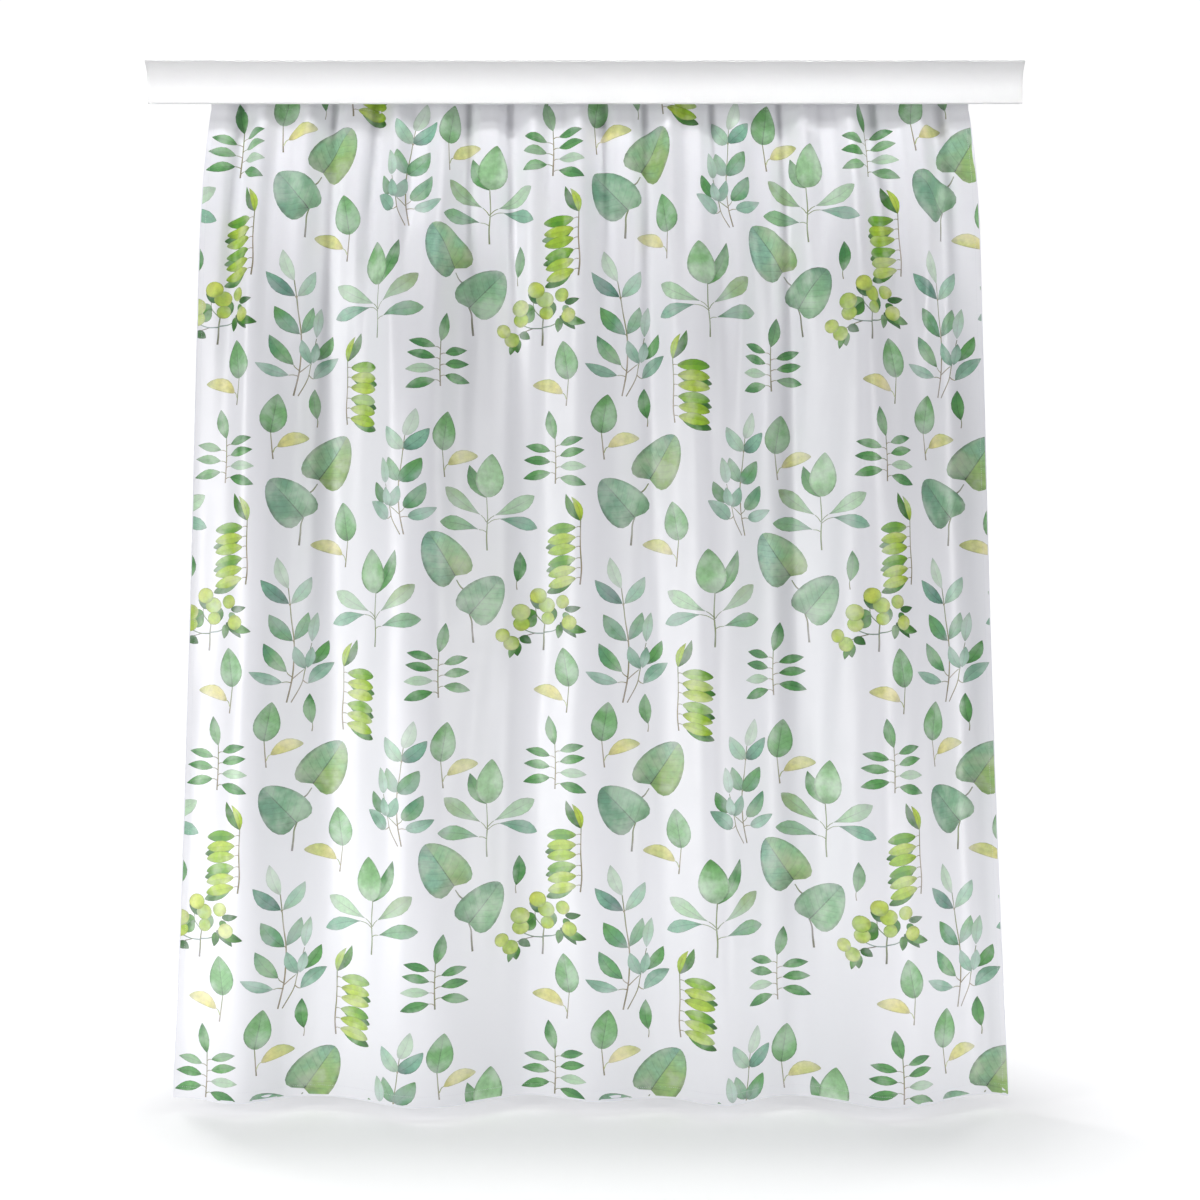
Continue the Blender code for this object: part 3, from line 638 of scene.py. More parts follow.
def add_maps(thing, u, v, front_faces):
    """The flat places as an attribute, and a map for baking with the two faces side by side."""
    mesh = thing.data
    spots = np.stack([u, v, np.zeros_like(u)], 1).astype(np.float32)
    flat = mesh.attributes.new("flat", "FLOAT_VECTOR", "POINT")
    flat.data.foreach_set("vector", spots.ravel())
    loops = np.zeros(len(mesh.loops), int)
    mesh.loops.foreach_get("vertex_index", loops)
    at = np.stack([u[loops] / CLOTH_WIDTH * 0.49 + 0.002, 0.998 - v[loops] / CLOTH_HEIGHT * 0.98], 1)
    start = 3 * front_faces
    at[start:2 * start, 0] += 0.502
    # the rim's narrow strip lies below both
    rim = at[2 * start:]
    if len(rim):
        rim[:, 0] = (u[loops[2 * start:]] / CLOTH_WIDTH) * 0.9 + 0.01
        rim[:, 1] = 0.002 + 0.010 * (v[loops[2 * start:]] / CLOTH_HEIGHT)
    layer = mesh.uv_layers.new(name="OFBake")
    layer.data.foreach_set("uv", at.astype(np.float32).ravel())


GRID_U = np.linspace(0, CLOTH_WIDTH, 201)
GRID_V = np.linspace(0, CLOTH_HEIGHT - 0.0015, 101)


def make_curtain():
    """The printed cloth: front and reverse share the print's faces."""
    shapes = printed_shapes()
    holes = eyelet_holes()
    flat, triangles, owners = triangulated(GRID_U, GRID_V, [s[0] for s in shapes] + holes)
    top = np.array([max(o) if len(o) else -1 for o in owners])
    keep = top < len(shapes)
    triangles, top = triangles[keep], top[keep]
    cloth, triangles = closed_sheet("curtain_cloth", flat, triangles, CLOTH_HALF, -CLOTH_HALF)
    facts = np.zeros((len(shapes) + 1, 5, 4))
    frames = np.zeros((len(shapes) + 1, 5))
    rng = np.random.default_rng(7)
    seeds = rng.random(400)
    for n, (_, shape, origin, base, ahead, length, number) in enumerate(shapes):
        place = origin + base * np.array([STRETCH / 100, -1 / 100])
        frames[n] = (*place, *ahead, length)
        ratio = shape["width"] / 2 / length
        is_stem = "line" in shape
        power, blunt = (1.0, 0.5) if is_stem else shape["form"]
        facts[n, 0] = (0, 0, 1.0 if is_stem else ratio, 0)
        facts[n, 1] = (power, blunt, 0.0 if is_stem else shape["bend"], 0)
        facts[n, 2] = (shape.get("lobe", 0), shape.get("rib", 0), shape.get("split", 0), 0)
        facts[n, 3] = (*shape["ink"], shape["density"])
        facts[n, 4] = (*shape["wash"], seeds[number])
    frames[-1] = (0, 0, 1, 0, 1)
    facts[-1, 0] = (0.5, 0, 1, 0)
    facts[-1, 1] = (1, 0.5, 0, 0)
    facts[-1, 3] = (0.8, 0.8, 0.8, 0.0)
    facts[-1, 4] = (0.8, 0.8, 0.8, 0.0)
    corners = flat[triangles]
    own = frames[top][:, None, :]
    x = (corners[..., 0] - own[..., 0]) * 100 / STRETCH
    y = -(corners[..., 1] - own[..., 1]) * 100
    s = (x * own[..., 2] + y * own[..., 3]) / own[..., 4]
    aside = (y * own[..., 2] - x * own[..., 3]) / own[..., 4]
    total = len(cloth.data.loops)
    for index, name in enumerate(("leaf", "form", "trait", "ink", "wash")):
        wide = 4 if index > 2 else 3
        values = np.repeat(facts[top][:, None, index, :wide], 3, axis=1)
        if index == 0:
            ground = (top < 0)[:, None]
            values[..., 0] = np.where(ground, 0.5, s)
            values[..., 1] = np.where(ground, 0.0, aside)
        front = values.reshape(-1, wide)
        behind = values[:, ::-1].reshape(-1, wide)
        data = np.zeros((total, wide), np.float32)
        data[:] = facts[-1, index, :wide]
        data[:len(front)] = front
        data[len(front):2 * len(front)] = behind
        kind, key = ("FLOAT_COLOR", "color") if wide == 4 else ("FLOAT_VECTOR", "vector")
        attribute = cloth.data.attributes.new(name, kind, "CORNER")
        attribute.data.foreach_set(key, data.ravel())
    slots = np.zeros(len(cloth.data.polygons), int)
    slots[len(triangles):] = 1
    cloth.data.materials.append(None)
    cloth.data.materials.append(None)
    cloth.data.polygons.foreach_set("material_index", slots)
    return cloth


def swept(name, along, at, section):
    """A closed section carried along the cloth. at(place, across, offset) gives u, v and offset."""
    grid, normals = [], []
    for across, offset in section:
        u, v = at(along, across)
        points, normal = cloth_points(u, v, offset)
        grid.append(points)
        normals.append(normal)
    rings, steps = len(along), len(section)
    points = np.stack(grid, 1).reshape(-1, 3)
    faces = []
    for r in range(rings - 1):
        for n in range(steps):
            m = (n + 1) % steps
            faces.append((r * steps + n, r * steps + m, (r + 1) * steps + m, (r + 1) * steps + n))
    faces.append(tuple(range(steps))[::-1])
    faces.append(tuple((rings - 1) * steps + n for n in range(steps)))
    thing = new_object(name, points, faces)
    faces_outward(thing)
    thing.data.set_sharp_from_angle(angle=math.radians(50))
    flat = thing.data.attributes.new("flat", "FLOAT_VECTOR", "POINT")
    spots = np.stack([np.stack([*at(along, across), np.full(len(along), offset)], 1)
                      for across, offset in section], 1).reshape(-1, 3)
    flat.data.foreach_set("vector", spots.astype(np.float32).ravel())
    return thing


def make_header_facing():
    """The turned-over band behind the top edge, with its eyelet holes."""
    grid_u = np.linspace(0, CLOTH_WIDTH, 201)
    holes = eyelet_holes()
    flat, triangles, owners = triangulated(grid_u, np.linspace(0, BAND_HEIGHT, 6), holes)
    keep = np.array([len(o) == 0 for o in owners])
    facing, _ = closed_sheet("header_facing", flat, triangles[keep], -0.00026, -0.00062)
    return facing


def folded_edge(lip, reach, over=0.0007):
    """Section of a hem: a thin band behind the cloth that turns over its edge, as (across, offset)."""
    return (
        (lip, 0.00028), (0.0, 0.00026), (-0.0003, 0.0001), (-0.0003, -0.0002), (0.0003, -0.00028),
        (reach - 0.0012, -0.00028), (reach, -0.00030), (reach + 0.0004, -0.00062), (reach, -0.00100),
        (reach - 0.0012, -0.00092), (0.0006, -0.00078), (-0.0003, -0.00070), (-over, -0.0004),
        (-over - 0.0001, 0.0), (-over * 0.8, 0.0004), (-0.0001, 0.00056), (lip, 0.00050),
    )


def make_hems():
    """Bottom and side hems and the fold over the header's top edge."""
    top, bottom = BAND_HEIGHT + 0.0005, CLOTH_HEIGHT - HEM_HEIGHT - 0.0008
    down = np.linspace(top, bottom, 130)
    across = np.linspace(0.0, CLOTH_WIDTH, 301)
    section = folded_edge(0.0006, SIDE_HEM_WIDTH)
    left = swept("side_facing_left", down, lambda p, a: (np.full_like(p, a), p), section)
    right = swept("side_facing_right", down, lambda p, a: (np.full_like(p, CLOTH_WIDTH - a), p), section)
    cap = (
        (0.0022, 0.00028), (-0.0001, 0.00027), (-0.0001, -0.00066), (0.0022, -0.00068), (0.0022, -0.00088),
        (-0.0001, -0.00086), (-0.0006, -0.0004), (-0.0006, 0.0001), (-0.0001, 0.00050), (0.0022, 0.00046),
    )
    fold = swept("header_fold", across, lambda p, a: (p, np.full_like(p, a)), cap)
    turn = TAPE_RADIUS + 0.00025
    wall = 0.0003
    middle = -0.00036 - turn
    low = turn + wall
    # height above the cloth's lower end, and offset
    inner, outer = [(0.0060, -0.00036)], [(0.0060, -0.00028), (0.0030, -0.00026)]
    for n in range(9):
        angle = math.pi * n / 8
        inner.append((low - turn * math.sin(angle), middle + turn * math.cos(angle)))
        wide = turn + wall
        outer.append((low - wide * math.sin(angle), middle + wide * math.cos(angle)))
    outer[2] = (low, -0.00001 + 0.0002)
    outer[3] = (low - wide * 0.45, 0.00010)
    inner += [(0.0070, -0.0012), (0.0110, -0.00036), (HEM_HEIGHT - 0.0012, -0.00034)]
    outer += [(0.0072, -0.0016), (0.0112, -0.00072), (HEM_HEIGHT - 0.0014, -0.00078),
              (HEM_HEIGHT - 0.0004, -0.00100), (HEM_HEIGHT, -0.00066)]
    section = [(CLOTH_HEIGHT - h, o) for h, o in outer] + [(CLOTH_HEIGHT - h, o) for h, o in inner[::-1]]
    hem = swept("hem_facing", across, lambda p, a: (p, np.full_like(p, a)), section)
    ring = [(CLOTH_HEIGHT - low - TAPE_RADIUS * math.sin(a), middle + TAPE_RADIUS * math.cos(a))
            for a in np.linspace(0, 2 * math.pi, 9)[:-1]]
    tape = swept("weight_cord", np.linspace(0.0015, CLOTH_WIDTH - 0.0015, 301),
                 lambda p, a: (p, np.full_like(p, a)), ring)
    return left, right, fold, hem, tape


def stitches(name, lines):
    """Short raised threads. Each line is (start u, v), (end u, v) and the offset of its face."""
    length, gap, half, rise = 0.0030, 0.0012, 0.00024, 0.00016
    centres, aheads, offsets = [], [], []
    for (u0, v0), (u1, v1), offset in lines:
        span = math.hypot(u1 - u0, v1 - v0)
        count = int(span / (length + gap))
        share = (np.arange(count) + 0.5) / count
        centres.append(np.stack([u0 + (u1 - u0) * share, v0 + (v1 - v0) * share], 1))
        aheads += [((u1 - u0) / span, (v1 - v0) / span)] * count
        offsets += [offset] * count
    centres, aheads, offsets = np.concatenate(centres), np.array(aheads), np.array(offsets)
    asides = np.stack([-aheads[:, 1], aheads[:, 0]], 1)
    # ends, two sides at the middle, the crown and the foot
    parts = ((-0.5, 0, 0), (-0.22, 1, 0), (-0.22, -1, 0), (-0.22, 0, 1), (0.22, 1, 0), (0.22, -1, 0),
             (0.22, 0, 1), (0.5, 0, 0), (-0.22, 0, -0.3), (0.22, 0, -0.3))
    grid = []
    for run, side, up in parts:
        spot = centres + aheads * (run * length) + asides * (side * half)
        height = offsets + np.sign(offsets) * (up * rise)
        points, _ = cloth_points(spot[:, 0], spot[:, 1], height)
        grid.append(points)
    points = np.stack(grid, 1).reshape(-1, 3)
    pattern = ((0, 1, 3), (0, 3, 2), (0, 2, 8), (0, 8, 1), (1, 4, 6, 3), (3, 6, 5, 2), (2, 5, 9, 8),
               (8, 9, 4, 1), (7, 6, 4), (7, 5, 6), (7, 9, 5), (7, 4, 9))
    faces = [tuple(k * len(parts) + i for i in face) for k in range(len(centres)) for face in pattern]
    thing = new_object(name, points, faces)
    faces_outward(thing)
    return thing


def make_stitching():
    left, right, low_line = 0.010, CLOTH_WIDTH - 0.010, CLOTH_HEIGHT - HEM_HEIGHT + 0.0025
    front, behind = 0.00022, -0.00066
    header = [((0.004, v), (CLOTH_WIDTH - 0.004, v), o)
              for v, o in ((0.0035, 0.00022), (0.0370, 0.00022), (0.0370, behind), (0.0045, behind))]
    hem = [((0.004, low_line), (CLOTH_WIDTH - 0.004, low_line), o) for o in (front, -0.00084)]
    sides = [((u, BAND_HEIGHT + 0.004), (u, CLOTH_HEIGHT - HEM_HEIGHT - 0.004), o)
             for u in (left, right) for o in (front, -0.00098)]
    return (stitches("header_stitching", header), stitches("hem_stitching", hem),
            stitches("side_stitching", sides))


# Materials

class Graph:
    """A material's nodes, made one after another."""

    def __init__(self, name):
        self.material = bpy.data.materials.new(name)
        self.material.use_nodes = True
        self.tree = self.material.node_tree
        self.shader = self.tree.nodes["Principled BSDF"]

    def node(self, kind, **settings):
        made = self.tree.nodes.new(kind)
        for key, value in settings.items():
            setattr(made, key, value)
        return made

    def put(self, socket, value):
        if isinstance(value, bpy.types.NodeSocket):
            self.tree.links.new(value, socket)
        else:
            socket.default_value = value

    def math(self, operation, *values, clamp=False):
        made = self.node("ShaderNodeMath", operation=operation, use_clamp=clamp)
        for socket, value in zip(made.inputs, values):
            self.put(socket, value)
        return made.outputs[0]

    def step(self, value, low, high, to_low=0.0, to_high=1.0):
        """A soft step from to_low at low to to_high at high."""
        made = self.node("ShaderNodeMapRange", interpolation_type="SMOOTHSTEP")
        for key, given in (("Value", value), ("From Min", low), ("From Max", high),
                           ("To Min", to_low), ("To Max", to_high)):
            self.put(made.inputs[key], given)
        return made.outputs[0]

    def mix(self, factor, a, b, blend="MIX"):
        made = self.node("ShaderNodeMix", data_type="RGBA", blend_type=blend)
        self.put(made.inputs[0], factor)
        for socket, value in ((made.inputs[6], a), (made.inputs[7], b)):
            self.put(socket, (*value, 1.0) if isinstance(value, tuple) and len(value) == 3 else value)
        return made.outputs[2]

    def attribute(self, name):
        return self.node("ShaderNodeAttribute", attribute_name=name)

    def noise(self, place, scale, detail=2.0, roughness=0.5, kind="ShaderNodeTexNoise"):
        made = self.node(kind)
        self.put(made.inputs["Vector"], place)
        self.put(made.inputs["Scale"], scale)
        self.put(made.inputs["Detail"], detail)
        self.put(made.inputs["Roughness"], roughness)
        return made.outputs[0]

    def bump(self, height, strength, distance, under=None):
        made = self.node("ShaderNodeBump")
        self.put(made.inputs["Strength"], strength)
        self.put(made.inputs["Distance"], distance)
        self.put(made.inputs["Height"], height)
        if under is not None:
            self.put(made.inputs["Normal"], under)
        return made.outputs[0]

    def set(self, **values):
        for key, value in values.items():
            self.put(self.shader.inputs[key.replace("_", " ")], value)
        return self.material


GROUND = srgb(240, 240, 244)
WEAVE = 0.00042              # between threads


def weave_of(graph, flat):
    """Thread crowns of a plain weave, 0 to 1, from the flat places."""
    parts = graph.node("ShaderNodeSeparateXYZ")
    graph.put(parts.inputs[0], flat)
    waves = [graph.math("SINE", graph.math("MULTIPLY", parts.outputs[n], math.pi / WEAVE))
             for n in (0, 1)]
    crossed = graph.math("MULTIPLY", waves[0], waves[1])
    return graph.math("MULTIPLY_ADD", crossed, 0.5, 0.5)


def cloth_finish(graph, colour, flat, roughness=0.38):
    """Satin polyester: fine weave, small creases, soft sheen."""
    creases = graph.noise(flat, 22.0, 3.0, 0.55)
    slubs = graph.noise(flat, 900.0, 2.0, 0.6)
    weave = weave_of(graph, flat)
    rough = graph.math("MULTIPLY_ADD", creases, 0.16, roughness - 0.08)
    soft = graph.bump(creases, 0.25, 0.0020)
    fine = graph.bump(graph.math("ADD", weave, graph.math("MULTIPLY", slubs, 0.6)), 0.30, 0.00006, soft)
    return graph.set(Base_Color=colour, Roughness=rough, Normal=fine, Specular_IOR_Level=0.85,
                     Sheen_Weight=0.22, Sheen_Roughness=0.35)


def ground_of(graph, flat, tint=GROUND):
    """The unprinted cloth, with the faintest unevenness of bleached yarn."""
    uneven = graph.noise(flat, 160.0, 3.0, 0.6)
    return graph.mix(graph.math("MULTIPLY", uneven, 0.10), tint, srgb(222, 222, 230))


def print_material(name, show, tint):
    """The printed cloth: watercolour leaves over a white ground. show is how strongly they stand."""
    graph = Graph(name)
    flat = graph.attribute("flat").outputs["Vector"]
    split = {}
    for key in ("leaf", "form", "trait"):
        parts = graph.node("ShaderNodeSeparateXYZ")
        graph.put(parts.inputs[0], graph.attribute(key).outputs["Vector"])
        split[key] = parts.outputs
    s, aside, ratio = split["leaf"]
    power, blunt, bend = split["form"]
    lobe, rib, two_tone = split["trait"]
    ink, wash = graph.attribute("ink"), graph.attribute("wash")
    density, seed = ink.outputs["Alpha"], wash.outputs["Alpha"]
    m = graph.math
    left = m("SUBTRACT", 1.0, s)
    bowed = m("MULTIPLY", m("MULTIPLY", bend, 4.0), m("MULTIPLY", s, left))
    away = m("SUBTRACT", aside, bowed)
    apart = m("ABSOLUTE", away)
    lag = m("MULTIPLY", m("MULTIPLY", lobe, m("DIVIDE", apart, ratio)), m("MULTIPLY", left, left))
    along = m("MINIMUM", m("MAXIMUM", m("ADD", s, lag), 0.002), 0.998)
    swell = m("SINE", m("MULTIPLY", m("POWER", along, power), math.pi))
    half = m("MULTIPLY", ratio, m("POWER", swell, blunt))
    rim = m("DIVIDE", apart, m("MAXIMUM", half, 0.004))
    seeded = graph.node("ShaderNodeVectorMath", operation="ADD")
    graph.put(seeded.inputs[0], flat)
    offset = graph.node("ShaderNodeCombineXYZ")
    graph.put(offset.inputs[2], m("MULTIPLY", seed, 9.0))
    graph.put(seeded.inputs[1], offset.outputs[0])
    place = seeded.outputs[0]
    bloom = graph.noise(place, 22.0, 3.0, 0.5)
    blots = graph.noise(place, 95.0, 4.0, 0.62)
    grain = graph.noise(flat, 780.0, 2.0, 0.7)
    # the second pigment gathers at one end and where the blooms lie
    ends = graph.step(m("ADD", along, m("MULTIPLY", m("SUBTRACT", seed, 0.5), 0.7)), 0.15, 0.95)
    side = m("MULTIPLY", m("SIGN", away), two_tone)
    share = m("ADD", m("MULTIPLY", ends, 0.50), m("MULTIPLY", m("SUBTRACT", bloom, 0.36), 1.6))
    share = m("ADD", share, m("MULTIPLY", side, 0.22), clamp=True)
    pigment = graph.mix(share, ink.outputs["Color"], wash.outputs["Color"])
    # a dark line where the wash dried at the leaf's edge
    dried = m("MULTIPLY", graph.step(rim, 0.80, 0.98), m("ADD", m("MULTIPLY", blots, 0.9), 0.05))
    middle_line = graph.step(apart, 0.006, 0.014, 1.0, 0.0)
    middle_line = m("MULTIPLY", middle_line, graph.step(along, 0.55, 0.95, 1.0, 0.15))
    veins = m("SINE", m("MULTIPLY", m("SUBTRACT", along, m("MULTIPLY", apart, 0.8)), 46.0))
    veins = m("MULTIPLY", graph.step(veins, 0.86, 1.0), graph.step(rim, 0.55, 0.95, 1.0, 0.0))
    halves = m("MULTIPLY", side, 0.13)
    dark = m("ADD", m("MULTIPLY", dried, 0.85), m("MULTIPLY", m("MULTIPLY", middle_line, rib), 0.55))
    tips = graph.step(m("ABSOLUTE", m("SUBTRACT", along, 0.52)), 0.20, 0.50)
    dark = m("ADD", dark, m("MULTIPLY", m("SUBTRACT", tips, 0.35), 0.34))
    dark = m("ADD", dark, m("MULTIPLY", m("MULTIPLY", veins, rib), 0.22))
    dark = m("ADD", dark, m("MULTIPLY", m("SUBTRACT", blots, 0.5), 0.80))
    dark = m("ADD", dark, m("MULTIPLY", m("SUBTRACT", grain, 0.5), 0.16))
    dark = m("ADD", dark, halves)
    value = m("SUBTRACT", 1.0, dark)
    toned = graph.node("ShaderNodeVectorMath", operation="SCALE")
    graph.put(toned.inputs[0], pigment)
    graph.put(toned.inputs["Scale"], value)
    # thinner paint in the blooms' pale hearts
    thin = graph.step(bloom, 0.34, 0.60, 0.80, 1.08)
    cover = m("MULTIPLY", m("MULTIPLY", density, thin), show, clamp=True)
    colour = graph.mix(cover, ground_of(graph, flat, tint), toned.outputs[0])
    return cloth_finish(graph, colour, flat)


def plain_cloth(name, tint, roughness=0.5):
    graph = Graph(name)
    flat = graph.attribute("flat").outputs["Vector"]
    return cloth_finish(graph, ground_of(graph, flat, tint), flat, roughness)


def thread_material():
    graph = Graph("thread")
    place = graph.node("ShaderNodeTexCoord").outputs["Object"]
    twist = graph.noise(place, 1800.0, 1.0)
    colour = graph.mix(twist, srgb(236, 236, 242), srgb(214, 214, 222))
    return graph.set(Base_Color=colour, Roughness=0.55, Normal=graph.bump(twist, 0.4, 0.0001),
                     Sheen_Weight=0.2)


def plastic(name, light, shade, roughness, grain=420.0, strength=0.10, painted_shade=None):
    """Moulded plastic: faint mottling, fine grain and slightly uneven gloss."""
    graph = Graph(name)
    place = graph.node("ShaderNodeTexCoord").outputs["Object"]
    mottled = graph.noise(place, 9.0, 3.0, 0.55)
    fine = graph.noise(place, grain, 2.0, 0.5)
    colour = graph.mix(graph.math("MULTIPLY", mottled, 0.5), light, shade)
    # painted shade, where given: the colour darkened where shade falls on the part
    if painted_shade:
        colour = painted_shade(graph, place, colour)
    rough = graph.math("MULTIPLY_ADD", mottled, 0.10, roughness - 0.05)
    return graph.set(Base_Color=colour, Roughness=rough, Normal=graph.bump(fine, strength, 0.00008),
                     Specular_IOR_Level=0.5, Coat_Weight=0.12, Coat_Roughness=0.25)


def painted_cove_shade(graph, place, white):
    """The fascia's white with painted shade: greyer in the throat of its cove and along its lip, where
    shade falls.
    """
    parts = graph.node("ShaderNodeSeparateXYZ")
    graph.put(parts.inputs[0], place)
    height = parts.outputs[2]
    # painted shade in the cove's throat, and a painted shadow line along the lip
    throat = graph.step(height, -0.062, 0.012, 0.0, 0.56)
    lip = graph.step(height, FASCIA_LOW_Z + 0.0012, FASCIA_LOW_Z + 0.0026, 0.34, 0.0)
    return graph.mix(graph.math("ADD", throat, lip), white, srgb(176, 176, 178))


def metal(name, light, shade, roughness, across=(40.0, 900.0, 900.0), strength=0.08, metallic=1.0):
    """Metal with fine drawing lines along one direction."""
    graph = Graph(name)
    place = graph.node("ShaderNodeTexCoord").outputs["Object"]
    mapping = graph.node("ShaderNodeMapping")
    graph.put(mapping.inputs["Vector"], place)
    mapping.inputs["Scale"].default_value = across
    lines = graph.noise(mapping.outputs[0], 1.0, 2.0, 0.6)
    dull = graph.noise(place, 60.0, 3.0, 0.6)
    colour = graph.mix(lines, light, shade)
    rough = graph.math("ADD", roughness - 0.06, graph.math("MULTIPLY", dull, 0.14))
    return graph.set(Base_Color=colour, Roughness=rough, Normal=graph.bump(lines, strength, 0.00006),
                     Metallic=metallic)


# CAD nodes: welded and shaded smooth over their small facets

def smoothing_nodes():
    """A modifier that joins a node's facets, rounds its hard edges' shading only where it curves."""
    group = bpy.data.node_groups.new("smooth_facets", "GeometryNodeTree")
    group.interface.new_socket("Geometry", in_out="INPUT", socket_type="NodeSocketGeometry")
    group.interface.new_socket("Geometry", in_out="OUTPUT", socket_type="NodeSocketGeometry")
    nodes, links = group.nodes, group.links
    start, end = nodes.new("NodeGroupInput"), nodes.new("NodeGroupOutput")
    merge = nodes.new("GeometryNodeMergeByDistance")
    merge.inputs["Distance"].default_value = 0.00001
    soft, sharp = nodes.new("GeometryNodeSetShadeSmooth"), nodes.new("GeometryNodeSetShadeSmooth")
    soft.domain, sharp.domain = "FACE", "EDGE"
    soft.inputs["Shade Smooth"].default_value = True
    angle, compare = nodes.new("GeometryNodeInputMeshEdgeAngle"), nodes.new("FunctionNodeCompare")
    compare.data_type, compare.operation = "FLOAT", "LESS_THAN"
    compare.inputs[1].default_value = math.radians(36)
    links.new(start.outputs[0], merge.inputs[0])
    links.new(merge.outputs[0], soft.inputs[0])
    links.new(soft.outputs[0], sharp.inputs[0])
    links.new(angle.outputs["Unsigned Angle"], compare.inputs[0])
    links.new(compare.outputs[0], sharp.inputs["Shade Smooth"])
    links.new(sharp.outputs[0], end.inputs[0])
    return group


def dress_nodes():
    group = smoothing_nodes()
    looks = {
        "ceiling_track": metal("track_enamel", srgb(232, 232, 230), srgb(220, 220, 219), 0.38,
                               (6.0, 700.0, 700.0), 0.05, 0.0),
        # the fascia's colour carries painted shade in its cove and along its lip
        "fascia": plastic("fascia_white", srgb(253, 253, 252), srgb(248, 248, 248), 0.36,
                          painted_shade=painted_cove_shade),
        "fascia_clip": metal("spring_steel", srgb(176, 178, 182), srgb(140, 142, 148), 0.30),
        "end_stop": plastic("stop_nylon", srgb(226, 226, 222), srgb(208, 208, 204), 0.48, 300.0, 0.16),
        "carrier": plastic("carrier_nylon", srgb(232, 232, 228), srgb(214, 214, 210), 0.44, 300.0, 0.14),
        "hook": metal("hook_chrome", srgb(206, 208, 212), srgb(176, 178, 184), 0.14,
                      (900.0, 120.0, 120.0), 0.04),
        "eyelet": metal("eyelet_chrome", srgb(214, 216, 220), srgb(184, 186, 192), 0.16,
                        (300.0, 300.0, 300.0), 0.05),
    }
    for name, thing in NODES.items():
        key = next((k for k in sorted(looks, key=len, reverse=True) if name.startswith(k)), None)
        if key is None:
            continue
        thing.data.materials.clear()
        thing.data.materials.append(looks[key])
        modifier = thing.modifiers.new("Smooth", "NODES")
        modifier.node_group = group


# Build

curtain = make_curtain()
header_facing = make_header_facing()
side_left, side_right, header_fold, hem_facing, weight_cord = make_hems()
header_stitching, hem_stitching, side_stitching = make_stitching()

printed = print_material("printed_satin", 1.0, GROUND)
reverse = print_material("reverse_satin", 0.30, srgb(236, 236, 243))
white_cloth = plain_cloth("hem_satin", srgb(238, 238, 245))
thread = thread_material()
lead = plain_cloth("tape_braid", srgb(150, 150, 156), 0.6)

curtain.data.materials[0] = printed
curtain.data.materials[1] = reverse
for piece in (header_facing, side_left, side_right, header_fold, hem_facing):
    piece.data.materials.append(white_cloth)
for piece in (header_stitching, hem_stitching, side_stitching):
    piece.data.materials.append(thread)
weight_cord.data.materials.append(lead)
dress_nodes()

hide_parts("curtain_panel")
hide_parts("header_band")
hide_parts("bottom_hem")
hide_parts("side_hem_left")
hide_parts("side_hem_right")
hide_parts("weight_tape")

CLOTH_PIECES = (curtain, header_facing, side_left, side_right, header_fold, hem_facing, weight_cord,
                header_stitching, hem_stitching, side_stitching)
for piece in CLOTH_PIECES:
    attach(piece, "curtain")
    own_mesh(piece)


# Camera, light and floor

VIEW_WIDTH = 2.375           # of the picture, at the cloth
CAMERA_DISTANCE = 3.0
CAMERA_X = 0.029
CAMERA_Z = -1.045
FLOOR_Z = -2.062
# The floor glows, and its weaker glow near the curtain is a painted shadow.
FLOOR_GLOW_NEAR = 0.20       # under the curtain
FLOOR_GLOW_FAR = 0.50        # out in the room
SHADE_HALF_WIDTH = 0.62      # of the floor's darker band under the curtain
SHADE_SIDE_FALL = 1.05       # how much faster it brightens past the curtain's sides

camera_data = bpy.data.cameras.new("camera")
camera_data.sensor_width = 36.0
camera_data.lens = 36.0 * CAMERA_DISTANCE / VIEW_WIDTH
camera = bpy.data.objects.new("camera", camera_data)
camera.location = (CAMERA_X, -CAMERA_DISTANCE, CAMERA_Z)
camera.rotation_euler = (math.radians(90), 0, 0)
bpy.context.scene.collection.objects.link(camera)
bpy.context.scene.camera = camera


def area_light(name, place, aim, size, power, spread=180.0):
    data = bpy.data.lights.new(name, "AREA")
    data.shape = "RECTANGLE"
    data.size, data.size_y = size
    data.energy = power
    data.spread = math.radians(spread)
    lamp = bpy.data.objects.new(name, data)
    lamp.location = place
    lamp.rotation_mode = "QUATERNION"
    lamp.rotation_quaternion = (Vector(aim) - Vector(place)).to_track_quat("-Z", "Y")
    bpy.context.scene.collection.objects.link(lamp)


area_light("left_strip", (-3.0, -1.75, -1.2), (0.0, 0.0, -1.2), (0.7, 2.6), 58.0)
area_light("right_strip", (3.1, -1.9, -1.2), (0.0, 0.0, -1.2), (0.7, 2.6), 43.0)
area_light("front", (0.3, -4.2, -1.1), (0.0, 0.0, -1.1), (3.0, 2.4), 8.0)
area_light("top", (0.0, -2.5, 1.1), (0.0, 0.0, -0.2), (2.6, 0.35), 13.0)
area_light("cove", (0.0, -1.3, 0.9), (0.0, -0.05, 0.0), (2.2, 0.1), 1.2, spread=30.0)
area_light("back_left", (-2.6, 2.4, -0.5), (0.0, 0.0, -0.9), (1.0, 2.2), 44.0)
area_light("back_right", (2.9, 2.7, -0.7), (0.0, 0.0, -1.0), (1.0, 2.2), 30.0)


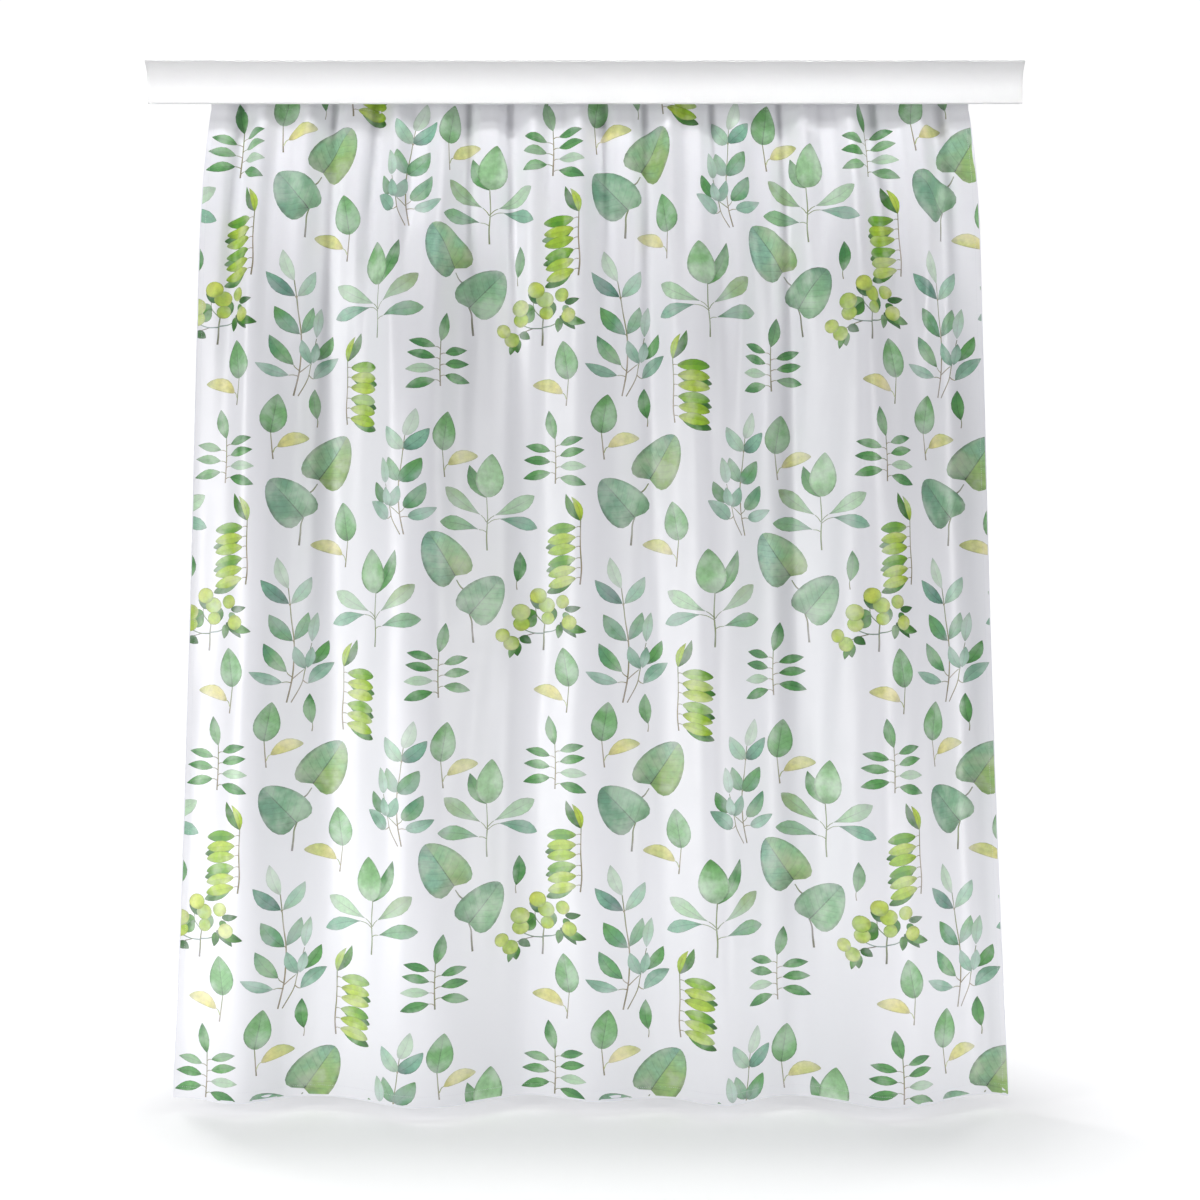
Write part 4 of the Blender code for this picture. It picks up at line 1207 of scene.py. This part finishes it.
def white_room():
    """White wherever the camera looks past the object, and a softer grey-white for its light."""
    world = bpy.data.worlds.new("room")
    world.use_nodes = True
    tree = world.node_tree
    tree.nodes.clear()
    output = tree.nodes.new("ShaderNodeOutputWorld")
    mix = tree.nodes.new("ShaderNodeMixShader")
    seen, light = tree.nodes.new("ShaderNodeBackground"), tree.nodes.new("ShaderNodeBackground")
    path = tree.nodes.new("ShaderNodeLightPath")
    seen.inputs["Color"].default_value = (1, 1, 1, 1)
    seen.inputs["Strength"].default_value = 1.05
    light.inputs["Color"].default_value = (*srgb(240, 241, 248), 1)
    light.inputs["Strength"].default_value = 0.18
    tree.links.new(path.outputs["Is Camera Ray"], mix.inputs[0])
    tree.links.new(light.outputs[0], mix.inputs[1])
    tree.links.new(seen.outputs[0], mix.inputs[2])
    tree.links.new(mix.outputs[0], output.inputs[0])
    bpy.context.scene.world = world


def make_floor():
    """A pale floor that glows, with a painted shadow under the curtain: its glow is weaker near the
    curtain and brighter away from it, so that it runs into the white room.
    """
    mesh = bpy.data.meshes.new("floor")
    turns = np.linspace(0, 2 * math.pi, 96, endpoint=False)
    mesh.from_pydata([(1.9 * math.cos(a), 1.25 * math.sin(a), 0) for a in turns], [], [tuple(range(96))])
    floor = bpy.data.objects.new("floor", mesh)
    floor.location = (0, 0, FLOOR_Z)
    bpy.context.scene.collection.objects.link(floor)
    graph = Graph("floor_glow_and_painted_shadow")
    place = graph.node("ShaderNodeTexCoord").outputs["Object"]
    parts = graph.node("ShaderNodeSeparateXYZ")
    graph.put(parts.inputs[0], place)
    sideways = graph.math("ABSOLUTE", graph.math("SUBTRACT", parts.outputs[0], CAMERA_X))
    beyond_hem = graph.math("MAXIMUM", graph.math("SUBTRACT", sideways, SHADE_HALF_WIDTH), 0.0)
    beside = graph.math("MULTIPLY", beyond_hem, SHADE_SIDE_FALL)
    away = graph.math("SQRT", graph.math("ADD", graph.math("MULTIPLY", beside, beside),
                                         graph.math("MULTIPLY", parts.outputs[1], parts.outputs[1])))
    # painted shadow: the glow is weaker in a band under and in front of the curtain
    glow = graph.math("ADD", graph.step(away, 0.08, 0.45, FLOOR_GLOW_NEAR, FLOOR_GLOW_FAR),
                      graph.step(away, 0.38, 0.90, 0.0, FLOOR_GLOW_FAR))
    colour = graph.mix(graph.noise(place, 1.5, 3.0), srgb(250, 250, 250), srgb(246, 246, 247))
    mesh.materials.append(graph.set(Base_Color=colour, Roughness=0.8, Specular_IOR_Level=0.1,
                                    Emission_Color=(1.0, 1.0, 1.0, 1.0), Emission_Strength=glow))


white_room()
make_floor()
bpy.context.scene.view_settings.view_transform = "Standard"
